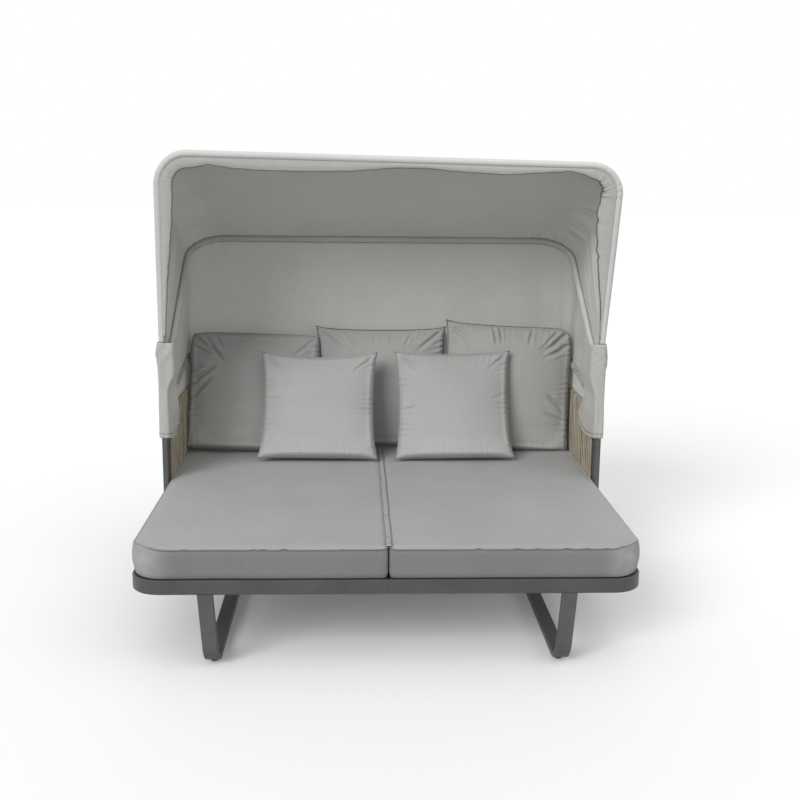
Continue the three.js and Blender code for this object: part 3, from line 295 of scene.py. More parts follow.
def belongs(piece, body, replaced=None):
    """The body a piece moves with and the node of the CAD that it stands for."""
    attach(piece, body)
    if replaced:
        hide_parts(replaced)


def sweep(path, across, up, outline, closed=False):
    """A bar swept along a path. across and up are the section's axes at each point of the path."""
    rings = (path[:, None] + across[:, None] * outline[None, :, 0, None]
             + up[:, None] * outline[None, :, 1, None])
    count, last = len(outline), (len(path) - 1) * len(outline)
    faces = grid_faces(len(path), count, wrap=True).tolist()
    if closed:
        faces += [[last + j, last + (j + 1) % count, (j + 1) % count, j] for j in range(count)]
    else:
        faces += [list(range(count))[::-1], [last + j for j in range(count)]]
    return rings.reshape(-1, 3), faces


def distance_along(path):
    return np.concatenate([[0], np.cumsum(np.linalg.norm(np.diff(path, axis=0), axis=1))])


def scale_colour(tree, shader, amount):
    """Makes the colour that the shader already has lighter or darker by an amount."""
    colour = shader.inputs["Base Color"].links[0].from_socket
    scaled = node(tree, "ShaderNodeVectorMath", {"operation": "SCALE"}, i0=colour, Scale=amount)
    feed(tree, shader, Base_Color=scaled.outputs[0])


rope_width, rope_thickness, rope_pitch = 0.0280, 0.0040, 0.0362
rope_bend, rope_edge, rope_crown = 0.0042, 0.0011, 1.5
turn_sway, turn_bow = 0.0016, 0.0010
group_spacing = 0.222
rail_half, rope_gap = 0.011, 0.0003
arm_top, low_rail = 0.725, 0.345
arm_rail_middle, arm_winding_start, arm_groups = 0.9165, 0.0008, (6, 6, 6)
back_rail_middle, back_winding_start, back_groups = 0.797, 0.034, (4, 4, 4, 4)


def braided_rope():
    material, tree, shader = new_material("braided_flat_rope")
    cut = coordinate(tree, "UV")
    split = node(tree, "ShaderNodeSeparateXYZ", Vector=cut).outputs
    strands = []
    for side in (1.0, -1.0):
        lean = maths(tree, "MULTIPLY_ADD", split["Y"], side, split["X"])
        strands.append(maths(tree, "SINE", maths(tree, "MULTIPLY", lean, 1150.0)))
    braid = maths(tree, "MAXIMUM", *strands)
    fade = noise(tree, coordinate(tree, "Object"), 14.0, 5.0, Roughness=0.6)
    by_turn = node(tree, "ShaderNodeMapping", Vector=cut, Scale=(2.1, 0.0, 0.0)).outputs[0]
    turn_tone = noise(tree, by_turn, 1.0, 2.0, Roughness=0.7)
    mixed = maths(tree, "MULTIPLY", maths(tree, "MULTIPLY_ADD", turn_tone, 1.1, fade), 0.5)
    # The braid's grooves and both edges of the rope are painted darker: painted shade in the grooves and
    # where the strap turns away between turns.
    braid_groove_shade = spread(tree, braid, -0.5, 0.6, 0.62, 1.0)
    border = spread(tree, maths(tree, "ABSOLUTE", split["Y"]), 0.0095, 0.0138, 1.0, 0.38)
    feed(tree, shader, Base_Color=ramp(tree, mixed, "#A99B7C", "#E0D5BC", 0.42, 0.64),
         Normal=bumps(tree, braid, 0.7, 0.0012), Roughness=0.88, Sheen_Weight=0.15)
    scale_colour(tree, shader, maths(tree, "MULTIPLY", braid_groove_shade, border))
    return material


rope_braid = braided_rope()


def rope_winding(name, replaced, start, groups, place, along, out, seed):
    """The rope's middle line turn after turn. groups holds the turns of each group along the rail."""
    starts = [start + rope_width / 2 + number * group_spacing + turn * rope_pitch
              for number, count in enumerate(groups) for turn in range(count)]
    reach = rail_half + rope_gap + rope_thickness / 2
    top, bottom = arm_top + rope_gap + rope_thickness / 2, low_rail - rope_gap - rope_thickness / 2
    low, high = bottom + rope_bend, top - rope_bend
    quarter = steps(0, math.pi / 2, 5)

    def straight(x, side, z_from, z_to, bow):
        return [(x + bow * math.sin(math.pi * ((z - bottom) / (top - bottom))), side * reach, z)
                for z in steps(z_from, z_to, 30)]

    def over_rail(x_from, x_to, side, end, way):
        before, after = (
            [(x, face * (reach - rope_bend * (1 - math.cos(a))),
              end - way * rope_bend * (1 - math.sin(a))) for a in angles]
            for x, face, angles in ((x_from, side, quarter[1:]), (x_to, -side, quarter[::-1])))
        flat = [(x_from + (x_to - x_from) * k, side * (reach - rope_bend) * (1 - 2 * k), end)
                for k in steps(0, 1, 8)[1:-1]]
        return before + flat + after

    line = []
    sway = np.random.default_rng(seed)
    for number, outer in enumerate(starts):
        outer += sway.uniform(-turn_sway, turn_sway) if number else 0
        inner = outer + rope_pitch / 2
        bow = sway.uniform(-turn_bow, turn_bow)
        line += straight(outer, 1, low, high, bow) + over_rail(outer, inner, 1, top, 1)
        line += straight(inner, -1, high, low, -bow)[1:]
        if number + 1 < len(starts):
            line += over_rail(inner, starts[number + 1], -1, bottom, -1)[:-1]
    line, along, out = (np.array(values, float) for values in (line, along, out))
    path = np.array(place) + line[:, :1] * along + line[:, 1:2] * out
    path[:, 2] = line[:, 2]
    tangent = np.gradient(path, axis=0)
    tangent -= np.outer(tangent @ along, along)
    tangent /= np.linalg.norm(tangent, axis=1)[:, None]
    across = np.tile(along, (len(path), 1))
    half, thick = rope_width / 2, rope_thickness / 2
    edge, third, side, crown = half - rope_edge, half * 0.33, thick * 0.2, thick * rope_crown
    section = np.array([[-edge, -thick], [-third, -thick], [third, -thick], [edge, -thick],
                        [half, -side], [half, side], [edge, thick], [third, crown], [-third, crown],
                        [-edge, thick], [-half, side], [-half, -side]])
    points, faces = sweep(path, across, np.cross(tangent, across), section)
    run = distance_along(path)
    uv = np.stack([np.repeat(run, len(section)), np.tile(section[:, 0], len(path))], -1)
    belongs(add_piece(name, points, faces, rope_braid, uv), "daybed", replaced)


for sign, side in ((1, "right_"), (-1, "left_")):
    rope_winding(side + "arm_rope_winding", side + "arm_rope", arm_winding_start, arm_groups,
                 (sign * arm_rail_middle, 0.1125, 0), (0, 1, 0), (sign, 0, 0), 5 + sign)
    rope_winding(side + "back_rope_winding", side + "back_rope", back_winding_start, back_groups,
                 (sign * 0.011, back_rail_middle, 0), (sign, 0, 0), (0, 1, 0), 9 + sign)


# Canopy cloth: a grey outdoor canvas in plain weave, sewn round the hoops as sleeves. Its dark thread
# shows as fine seams, and elastic in the free edge of the facing and in the side hems gathers it.
def canvas(name, light, dark, thread=0.0011, weave_depth=0.35, sheen=0.10, lets_light_through=0.0):
    """Plain weave in the cloth's own cut coordinates, with slubs and a slow change of tone."""
    material, tree, shader = new_material(name)
    cut = coordinate(tree, "UV")
    split = node(tree, "ShaderNodeSeparateXYZ", Vector=cut).outputs
    crossing = [maths(tree, "SINE", maths(tree, "MULTIPLY", split[axis], math.pi / thread))
                for axis in ("X", "Y")]
    slubs = noise(tree, cut, 210.0, 4.0, Roughness=0.7)
    height = maths(tree, "MULTIPLY_ADD", slubs, 1.2, maths(tree, "MULTIPLY", *crossing))
    clouds = noise(tree, coordinate(tree, "Object"), 3.2, 5.0, Roughness=0.6)
    heather = maths(tree, "MULTIPLY_ADD", slubs, 0.45, clouds)
    for stretch in ((1.0, 0.07, 1.0), (0.07, 1.0, 1.0)):
        along = node(tree, "ShaderNodeMapping", Vector=cut, Scale=stretch).outputs[0]
        heather = maths(tree, "MULTIPLY_ADD", noise(tree, along, 330.0, 3.0, Roughness=0.6), 0.9, heather)
    tone = ramp(tree, maths(tree, "MULTIPLY", heather, 0.2), dark, light, 0.26, 0.39)
    feed(tree, shader, Base_Color=tone, Normal=bumps(tree, height, weave_depth, 0.0005), Roughness=0.92,
         Sheen_Weight=sheen, Specular_IOR_Level=0.2)
    if lets_light_through:
        feed(tree, shader, Subsurface_Weight=lets_light_through, Subsurface_Radius=(1, 1, 1),
             Subsurface_Scale=0.010)
    return material


def stripes(tree, scale, distortion):
    """Stitches, ribs or pleats across a cloth's length, as waves along its cut coordinates."""
    return node(tree, "ShaderNodeTexWave", Vector=coordinate(tree, "UV"), Scale=scale,
                Distortion=distortion, Detail=2.0).outputs["Fac"]


def thread_material(name, dark, light, scale=80.0, distortion=0.6, strength=0.5, distance=0.0006):
    material, tree, shader = new_material(name)
    ribs = stripes(tree, scale, distortion)
    feed(tree, shader, Base_Color=ramp(tree, ribs, dark, light), Roughness=0.95,
         Normal=bumps(tree, ribs, strength, distance))
    return material


canopy_canvas = canvas("canopy_canvas", "#C6C5C2", "#BAB9B6", lets_light_through=0.45)
# The sleeves take lighter copies of the same canvas without its translucency: the extra lightness is
# painted light.
sleeve_canvas_painted_lighter = canvas("doubled_canvas_painted_lighter", "#D8D7D4", "#CECDCA")
rear_sleeve_canvas_painted_lighter = canvas("doubled_rear_canvas_painted_lighter", "#D6D5D2", "#CCCBC8")
# In the gathered hems the colour is darkened in the folds of the pleats: painted shade.
gathered_canvas = canvas("gathered_canvas_with_painted_fold_shade", "#C6C5C2", "#BAB9B6")
tree = gathered_canvas.node_tree
shader, pleats = tree.nodes["Principled BSDF"], stripes(tree, 34.0, 5.0)
scale_colour(tree, shader, spread(tree, pleats, 0.05, 0.60, 0.38, 1.0))
feed(tree, shader, Normal=bumps(tree, pleats, 0.9, 0.003))
seam_thread = thread_material("dark_seam_thread", "#2E2F31", "#4B4C4D")
cover_thread = thread_material("cover_seam_thread", "#4E4E4D", "#6E6E6C")

pivot_y, pivot_z = 0.090, 0.975
hoop_length, sleeve_start = 0.800, 0.070
front_lean, rear_lean = math.radians(-9), math.radians(56)
front_half, rear_half = 0.9165, 0.8895
rack_aside, rack_tilt, rack_rise = 0.031, 0.0187, 0.011
front_corner, rear_corner = 0.120, 0.160
sleeve_radius = 0.0136
leg_cells, corner_cells, top_cells = 44, 26, 48


def in_hoop(lean, x, radial, depth):
    """A point of a hoop's own plane. The front hoop stands racked to the right, the rear one square."""
    x, radial, depth = (np.asarray(a, float) for a in np.broadcast_arrays(x, radial, depth))
    racked = (rear_lean - lean) / (rear_lean - front_lean)
    rise = racked * np.maximum(0, radial - sleeve_start)
    reach = radial + rise / (hoop_length - sleeve_start) * (rack_rise - rack_tilt * x)
    return np.stack([x + rack_aside * rise, pivot_y + reach * math.sin(lean) + depth * math.cos(lean),
                     pivot_z + reach * math.cos(lean) - depth * math.sin(lean)], -1)


def hoop_stations(half, corner, start):
    """Stations from the right foot over the top to the left foot: x, radial, and the way out at each."""
    shoulder = hoop_length - corner
    angle = steps(0, math.pi / 2, corner_cells + 1)
    x = np.concatenate([np.full(leg_cells, half), half - corner + corner * np.cos(angle),
                        steps(half - corner, 0, top_cells + 1)[1:]])
    radial = np.concatenate([steps(start, shoulder, leg_cells + 1)[:-1],
                             shoulder + corner * np.sin(angle), np.full(top_cells, hoop_length)])
    out_x = np.concatenate([np.ones(leg_cells), np.cos(angle), np.zeros(top_cells)])
    out_r = np.concatenate([np.zeros(leg_cells), np.sin(angle), np.ones(top_cells)])
    return tuple(np.concatenate([values, sign * values[-2::-1]])
                 for values, sign in ((x, -1), (radial, 1), (out_x, -1), (out_r, 1)))


def corner_weight(half, corner, start):
    """1 in the middle of each rounded corner, falling to 0 some way along the leg and the top."""
    x, radial, _, _ = hoop_stations(half, corner, start)
    run = distance_along(np.stack([x, radial], -1))
    middle = leg_cells + corner_cells // 2
    ends = [run[middle], run[-1] - run[middle]]
    return sum(np.exp(-((run - e) / (corner * 0.95)) ** 2) for e in ends)


def solidify(piece, thickness):
    layer = piece.modifiers.new("cloth_thickness", "SOLIDIFY")
    layer.thickness = thickness
    layer.offset = 0
    return piece


def lengths(grid, axis):
    """How far each point of a grid lies along one of its two ways."""
    before = np.zeros_like(np.take(grid[..., 0], [0], axis))
    return np.concatenate([before, np.cumsum(np.linalg.norm(np.diff(grid, axis=axis), axis=2), axis=axis)],
                          axis=axis)


def sheet_piece(name, grid, material, thickness=0.0016):
    """A cloth sheet over a grid of points. Its cut coordinates are the lengths along the two ways."""
    rows, columns = grid.shape[:2]
    u, middle = lengths(grid, 0), columns // 2
    uv = np.stack([np.repeat(u[:, middle:middle + 1], columns, 1), lengths(grid, 1)], -1)
    return solidify(add_piece(name, grid.reshape(-1, 3), grid_faces(rows, columns), material,
                              uv.reshape(-1, 2)), thickness)


def around(sides):
    return steps(0, 2 * math.pi, sides + 1)[:-1]


def cloth_tube(name, middle, across, up, run, radius, cut_radius, material):
    """A tube of cloth round a middle line. radius holds its reach at each place and angle."""
    angle = around(radius.shape[1])
    across, up = (np.broadcast_to(way, middle.shape)[:, None] for way in (across, up))
    grid = (middle[:, None] + across * (radius * np.cos(angle))[..., None]
            + up * (radius * np.sin(angle))[..., None])
    uv = np.stack([np.repeat(run[:, None], len(angle), 1),
                   np.tile(angle * cut_radius, (len(run), 1))], -1)
    piece = add_piece(name, grid.reshape(-1, 3), grid_faces(len(run), len(angle), wrap=True), material,
                      uv.reshape(-1, 2))
    return solidify(piece, 0.0012)


def seam(name, path, radius=0.0011, material=seam_thread, body="daybed",
         closed=False):
    """A line of stitching along a path, as a fine raised thread that rides with a body."""
    tangent = np.gradient(path, axis=0)
    tangent /= np.maximum(np.linalg.norm(tangent, axis=1), 1e-9)[:, None]
    aside = np.cross(tangent, np.array([0.13, 0.31, 0.94]))
    aside /= np.maximum(np.linalg.norm(aside, axis=1), 1e-9)[:, None]
    angle = around(6)
    outline = radius * np.stack([np.cos(angle), np.sin(angle)], -1)
    points, faces = sweep(path, aside, np.cross(aside, tangent), outline, closed)
    uv = np.stack([np.repeat(distance_along(path), len(angle)), np.tile(angle * radius, len(path))], -1)
    belongs(add_piece(name, points, faces, material, uv), body)


def ripple(run, wavelength, phase=0.0, seed=0):
    """An uneven wave along a length, for gathers: a sine whose pitch and height wander."""
    pick = np.random.default_rng(seed)
    turn = run * 2 * math.pi / wavelength
    wander = sum(pick.uniform(0.3, 1.0) * np.sin(turn / k + pick.uniform(0, 6.3))
                 for k in (5.3, 9.7, 17.1))
    height = 0.75 + 0.25 * np.sin(turn / 7.3 + phase * 1.7)
    return height * np.sin(turn + phase + 0.9 * wander)


# Hoop sleeves: the panels' edges are folded over each hoop and stitched down, so the hoop runs in a
# cloth sleeve. The cloth is cut wider than the hoop at the rounded corners and is puckered there.
sleeve_foot = 0.054


def foot_taper(run):
    """The sleeves are sewn tighter beside the pivots, where the hoops fold past each other."""
    return 0.0014 * np.exp(-(np.minimum(run, run[-1] - run) / 0.22) ** 2)[:, None]


def hoop_sleeve(name, replaced, body, lean, half, corner, pucker, seed, cloth):
    x, radial, out_x, out_r = hoop_stations(half, corner, sleeve_foot)
    middle = in_hoop(lean, x, radial, 0)
    outward = in_hoop(lean, x + out_x, radial + out_r, 0) - middle
    depth = in_hoop(lean, x, radial, 1) - middle
    run = distance_along(middle)
    near_corner = corner_weight(half, corner, sleeve_foot)
    swell = ((pucker * near_corner + 0.0003) * ripple(run, 0.021, 0.4, seed))[:, None]
    radius = (sleeve_radius + 0.0004 - foot_taper(run)
              + swell * (0.35 + 0.65 * np.abs(np.sin(around(20)))[None]))
    piece = cloth_tube(name, middle, outward, depth, run, radius, sleeve_radius, cloth)
    belongs(piece, body, replaced)
    return middle, outward, depth, run


front_line = hoop_sleeve("front_sleeve", "front_hoop_sleeve", "front_hoop", front_lean, front_half,
                         front_corner, 0.0020, 21, sleeve_canvas_painted_lighter)
rear_line = hoop_sleeve("rear_sleeve", "rear_hoop_sleeve", "rear_hoop", rear_lean, rear_half,
                        rear_corner, 0.0042, 22, rear_sleeve_canvas_painted_lighter)


def along_sleeve(line, turn, reach):
    """A path beside a sleeve's middle line, turned from outward (0) towards the rear (90 degrees)."""
    middle, outward, depth, run = line
    a, reach = math.radians(turn), reach - foot_taper(run)
    return middle + outward * (reach * math.cos(a)) + depth * (reach * math.sin(a))


for name, line, turns in (("front", front_line, (-158, 62)), ("rear", rear_line, (-70, 150))):
    for number, turn in enumerate(turns):
        seam(f"{name}_sleeve_seam_{number + 1}", along_sleeve(line, turn, sleeve_radius + 0.0008),
             0.0011 if turn < 0 else 0.0007, body=name + "_hoop")


# Front panel: one sheet of canvas over the roof and down both sides, sewn to the front and the rear
# hoop. It sags between the hoops, falls in folds at the sides and is gathered where the hoops turn.
on_sleeve_out, on_sleeve_aside = 0.0112, 0.0062


def sleeve_edge(lean, half, corner, towards, foot):
    x, radial, out_x, out_r = hoop_stations(half, corner, foot)
    return in_hoop(lean, x + out_x * on_sleeve_out, radial + out_r * on_sleeve_out,
                   towards * on_sleeve_aside)


def front_panel_grid():
    start = sleeve_edge(front_lean, front_half, front_corner, 1, sleeve_foot)
    end = sleeve_edge(rear_lean, rear_half, rear_corner, -1, sleeve_foot)
    x, radial, out_x, out_r = hoop_stations(front_half, front_corner, sleeve_foot)
    t = steps(0, 1, 64 + 1)[None]
    grid = start[:, None] * (1 - t[..., None]) + end[:, None] * t[..., None]
    hang = np.sin(math.pi * t)
    run = distance_along(start)[:, None]
    rise = smooth((radial - sleeve_start) / 0.45)[:, None]
    side = np.abs(out_x)[:, None]
    corner = corner_weight(front_half, front_corner, sleeve_foot)[:, None]
    # vertical folds of the side walls, fanned out from the pivot
    fold = rise * side * hang * (
        0.0100 * np.sin(2 * math.pi * (2.6 * t + 0.10 * np.sin(run * 5.0)) + 0.5)
        + 0.0060 * np.sin(2 * math.pi * (6.3 * t + 0.16 * np.sin(run * 3.1 + 1.0)) + 1.1)
        + 0.0034 * np.sin(2 * math.pi * (13.1 * t + 0.3 * np.sin(run * 4.0)) + 2.0))
    # gathers that run away from the stitching of each hoop
    near_front, near_rear = np.exp(-t / 0.10), np.exp(-(1 - t) / 0.085)
    gathers = (0.0022 * (0.28 + corner) * near_front * ripple(run, 0.030, 0.0, 31)
               + 0.0034 * (0.22 + 1.1 * corner) * near_rear * ripple(run, 0.027, 1.3, 32))
    gathers *= np.clip(t / 0.015, 0, 1) * np.clip((1 - t) / 0.015, 0, 1)
    drag = 0.0055 * corner * hang * np.sin(2 * math.pi * (run * 5.6 + 1.1 * t))
    sag = hang * np.abs(out_r)[:, None] * (0.015 + 0.0030 * np.sin(run * 9.0 + 3.0 * t))
    outward = np.stack([out_x, np.zeros_like(out_x), out_r], -1)[:, None]
    grid = grid + outward * (fold + gathers + drag)[..., None]
    grid[..., 2] -= sag
    grid[..., 0] -= np.sign(x)[:, None] * side * hang * rise * 0.006
    return grid


front_panel = sheet_piece("canopy_roof", front_panel_grid(), canopy_canvas)
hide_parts("canopy_front_panel")


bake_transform(front_panel)


# Facing: a loose valance sewn under the front sleeve. Elastic in its free edge ruffles it, most of
# all at the two top corners and down the right-hand leg.
facing_foot, facing_inset, facing_back = 0.012, 0.0098, 0.0082
# places on the hoop and how far the free edge lies inside the hoop's middle line there
top_edge = [(-0.80, 0.052), (-0.74, 0.042), (-0.713, 0.036), (-0.624, 0.048), (-0.52, 0.053),
            (-0.342, 0.053), (-0.163, 0.047), (0.017, 0.030), (0.141, 0.028), (0.242, 0.036),
            (0.458, 0.044), (0.58, 0.034), (0.712, 0.024), (0.76, 0.034), (0.80, 0.050)]
left_edge = [(0.07, 0.016), (0.30, 0.030), (0.50, 0.050), (0.60, 0.057), (0.66, 0.059), (0.74, 0.057),
             (0.80, 0.052)]
right_edge = [(0.07, 0.012), (0.22, 0.026), (0.32, 0.044), (0.50, 0.072), (0.60, 0.082), (0.68, 0.078),
              (0.74, 0.064), (0.80, 0.050)]


def facing_width(x, radial):
    sides = np.where(x < 0, np.interp(radial, *zip(*left_edge)), np.interp(radial, *zip(*right_edge)))
    top = np.interp(x, *zip(*top_edge))
    reach = front_half - front_corner
    share = smooth((np.abs(x) - reach) / (0.55 * front_corner))
    return top * (1 - share) + sides * share


def facing_grid():
    x, radial, out_x, out_r = hoop_stations(front_half, front_corner, sleeve_start + facing_foot)
    middle = in_hoop(front_lean, x, radial, 0)
    run = distance_along(middle)
    width = facing_width(x, radial)
    corner = corner_weight(front_half, front_corner, sleeve_start + facing_foot)
    right_leg = smooth((radial - 0.20) / 0.2) * (x > 0) * (radial < hoop_length)
    ruffle = 0.0006 + 0.0036 * corner + 0.0020 * right_leg * np.abs(out_x)
    wave = ripple(run, 0.021, 0.2, 41) * 0.9 + ripple(run, 0.047, 1.0, 42) * 0.4
    edge_wave = (0.0006 + 0.0022 * right_leg * np.abs(out_x)) * ripple(run, 0.075, 0.9, 43)
    rows = []
    for t in steps(0, 1, 13):
        inset = facing_inset + (width - facing_inset + edge_wave * t + ruffle * 0.75 * wave * t * t) * t
        depth = -facing_back - 0.003 * math.sin(math.pi * t) + ruffle * wave * t ** 1.3
        rows.append(in_hoop(front_lean, x - out_x * inset, radial - out_r * inset, depth))
    return np.stack(rows, 1), run


facing, facing_run = facing_grid()
piece = sheet_piece("canopy_valance", facing, canopy_canvas)
belongs(piece, "front_hoop", "canopy_facing")
# The elastic binding of the free edge is a real part; its dark tone is painted shade under the ruffled
# edge.
elastic = thread_material("elastic_edge_with_painted_shade", "#5C5B59", "#8F8E8B", 38.0, 3.0, 0.8, 0.0015)
seam("canopy_valance_elastic", facing[:, -1], 0.0024, elastic, "front_hoop")
last = len(facing) - 1
for name, part, radius in (("right", slice(6, leg_cells + corner_cells + 3), 0.0031),
                           ("left", slice(last - leg_cells - corner_cells - 3, last - 16), 0.0027)):
    run = facing_run[part]
    gathers = np.stack([0.0011 * ripple(run, 0.016, 0.5, 44), 0.0011 * ripple(run, 0.021, 0.1, 45) - 0.001,
                        np.zeros(len(run))], -1)
    seam(f"canopy_valance_gathered_{name}_leg", facing[part, -1] + gathers, radius, elastic, "front_hoop")


# Rear panel: the same canvas from the rear hoop down behind the back, with a side wall on each side
# that ends in a gathered hem over the arm. It hangs nearly smooth, with soft folds at the sides.
side_hem_ends = np.array([[front_half, 0.285, 0.795], [front_half, 0.765, 0.868]])
rear_hem_height, rear_cloth_place = 0.690, 0.818


def bezier(a, b, c, t):
    t = t[:, None]
    return a * (1 - t) ** 2 + 2 * b * t * (1 - t) + c * t * t


def rear_hem_line():
    low, high = side_hem_ends + [0, 0, 0.0100]
    tail = np.array([front_half - 0.075, rear_cloth_place, rear_hem_height])
    knee = np.array([front_half, rear_cloth_place, high[2] * 0.6 + tail[2] * 0.4])
    leg = low + (high - low) * steps(0, 1, leg_cells + 1)[:-1, None]
    bend = bezier(high, knee, tail, steps(0, 1, corner_cells + 1))
    top = np.array([[x, tail[1], tail[2]] for x in steps(tail[0], 0, top_cells + 1)[1:]])
    half = np.concatenate([leg, bend, top])
    return np.concatenate([half, (half * [-1, 1, 1])[-2::-1]])


def rear_panel_grid():
    start = sleeve_edge(rear_lean, rear_half, rear_corner, 1, sleeve_start)
    hem = rear_hem_line()
    _, _, out_x, out_r = hoop_stations(rear_half, rear_corner, sleeve_start)
    t = steps(0, 1, 72 + 1)[None]
    grid = start[:, None] * (1 - t[..., None]) + hem[:, None] * t[..., None]
    run = distance_along(start)[:, None]
    corner = corner_weight(rear_half, rear_corner, sleeve_start)[:, None]
    side = np.abs(out_x)[:, None]
    hang = np.sin(math.pi * t)
    near_hoop = np.exp(-t / 0.10) * np.clip(t / 0.012, 0, 1)
    gathers = 0.0042 * (0.18 + 1.2 * corner) * near_hoop * ripple(run, 0.026, 0.6, 51)
    soft = 0.0050 * hang * (0.25 + 1.2 * corner + 0.4 * side) * np.sin(run * 23.0 + 1.6 * t + 0.7)
    soft += 0.0024 * hang * (0.3 + corner) * np.sin(run * 51.0 + 2.1 * np.sin(3.0 * t))
    folds = 0.0065 * side * hang * np.sin(2 * math.pi * (1.4 * t + 0.25 * np.sin(run * 8.0)) + 0.6)
    outward = np.stack([out_x, 0.85 * np.abs(out_r), np.zeros_like(out_r)], -1)[:, None]
    outward = outward / np.linalg.norm(outward, axis=-1, keepdims=True)
    bottom = np.clip((1 - t) / 0.05, 0, 1)
    grid = grid + outward * ((gathers + soft + folds) * bottom)[..., None]
    grid[..., 1] = np.minimum(grid[..., 1], rear_cloth_place + 0.0020)
    return grid


rear_grid = rear_panel_grid()
rear_panel = sheet_piece("canopy_back", rear_grid, canopy_canvas)
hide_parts("canopy_rear_panel")
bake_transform(rear_panel)
seam("canopy_back_hem_seam", rear_grid[leg_cells:-leg_cells, -3] + [0, 0.0016, 0])


# Side hems: the lower edge of each side wall is rolled round elastic and gathers into a twisted roll
# that spans the gap over the arm rail.
hem_radius, hem_cut_radius = 0.0138, 0.009
tuck_turn, tuck_run, below_middle, above_arm = 0.046, 0.05, 0.006, 0.0068


def between(low, high, share):
    return low + (high - low) * share


def side_hem(sign, side):
    low, high = side_hem_ends * [sign, 1, 1]
    t = steps(0, 1, 150)
    length = np.linalg.norm(high - low)
    run = t * length
    sag = 0.0035 * np.sin(math.pi * t)
    middle = low + (high - low) * t[:, None] - np.array([0, 0, 1]) * sag[:, None]
    across = np.array([1.0, 0, 0])
    angle = around(22)[None]
    twist = 26.0 * run[:, None]
    radius = hem_radius * (0.80 + 0.20 * smooth(np.minimum(t, 1 - t) / 0.08))[:, None]
    radius = radius * (1 + 0.17 * np.sin(3 * angle + twist) + 0.15 * ripple(run, 0.0155, 0.3, 61)[:, None]
                       + 0.06 * np.sin(7 * angle - 2.3 * twist))
    piece = cloth_tube(side + "gathered_hem", middle, across, np.cross(across, (high - low) / length), run,
                       radius, hem_cut_radius, gathered_canvas)
    belongs(piece, "daybed", side + "side_hem")
    # the cloth's turned-in end hangs a little below the roll, down to the top of the arm
    rows = []
    turn = steps(0, math.pi / 2, 12)[1:, None]
    behind = middle[-1] + tuck_turn * np.concatenate(
        [-sign * (1 - np.cos(turn)), np.sin(turn), np.zeros_like(turn)], 1)
    behind = np.concatenate([behind, behind[-1] - steps(0, tuck_run, 8)[1:, None] * [[sign, 0, 0]]])
    hung = np.concatenate([middle, behind])
    run = distance_along(hung)
    for share in steps(0, 1, 9):
        height = between(hung[:, 2] - below_middle, arm_top + above_arm, share)
        wave = (0.0026 + 0.0022 * share) * np.sin(run * 118 + 1.5 * share) * smooth(share * 3)
        rows.append(np.stack([hung[:, 0] + sign * wave, hung[:, 1], height], -1))
    tuck = sheet_piece(side + "gathered_hem_tuck", np.stack(rows, 1), canopy_canvas)
    belongs(tuck, "daybed")


for sign, side in ((1, "right_"), (-1, "left_")):
    side_hem(sign, side)


# Corner covers: a canvas cover is wrapped round the front of each post and over the pivot, with a
# flap inside the arm. It bulges over the pivot's cap nut, wrinkles there, and ends in a stitched hem.
cover_top, cover_hem, cover_round = 1.030, 0.630, 0.011
cover_outer, cover_front = 0.9336, 0.0657
cover_inner_low, cover_inner_high = 0.8965, 0.871
outer_rear_low, flap_rear, cover_rear_high = 0.1155, 0.285, 0.230
on_outside, on_front, on_flap = 0, 1, 2


def cover_row(high, flap_low, taper_low):
    """One level round the post from the outside over the front to the flap inside the arm."""
    t = (high - cover_hem) / (cover_top - cover_hem)
    inner = between(cover_inner_low, cover_inner_high,
                    float(smooth((high - pivot_z + taper_low) / (taper_low - 0.070))))
    outer_rear = between(outer_rear_low, cover_rear_high, float(smooth((high - arm_top) / 0.175)))
    flap_top = arm_top + 0.050
    if high < flap_top:
        inner_rear = between(flap_low, flap_rear, min(1, (high - cover_hem) / (flap_top - cover_hem)))
    else:
        inner_rear = between(flap_rear, cover_rear_high,
                             float(smooth((high - flap_top) / (cover_top - flap_top))))
    hem_share = 1 - float(smooth(t * 2))
    outer_turn, inner_turn = cover_outer - cover_round, inner + cover_round
    turn_y = cover_front + cover_round
    row = []
    for y in steps(outer_rear, turn_y, 26):
        near = math.hypot(y - pivot_y, high - pivot_z) / 0.038
        row.append((cover_outer + 0.0080 * math.exp(-near * near), y, high, on_outside))
    quarter = [(cover_round * math.sin(a), cover_round * math.cos(a)) for a in steps(0, math.pi / 2, 6)[1:]]
    row += [(outer_turn + c, turn_y - s, high, on_front) for s, c in quarter]
    row += [(x, cover_front, high, on_front) for x in steps(outer_turn, inner_turn, 10)[1:]]
    row += [(inner_turn - s, turn_y - c, high, on_front) for s, c in quarter]
    for s in steps(0, 1, 34)[1:]:
        dip = (-0.024 * math.sin(math.pi * s) + 0.010 * s * s) * hem_share
        row.append((inner, between(turn_y, inner_rear, s), high + dip, on_flap))
    return row


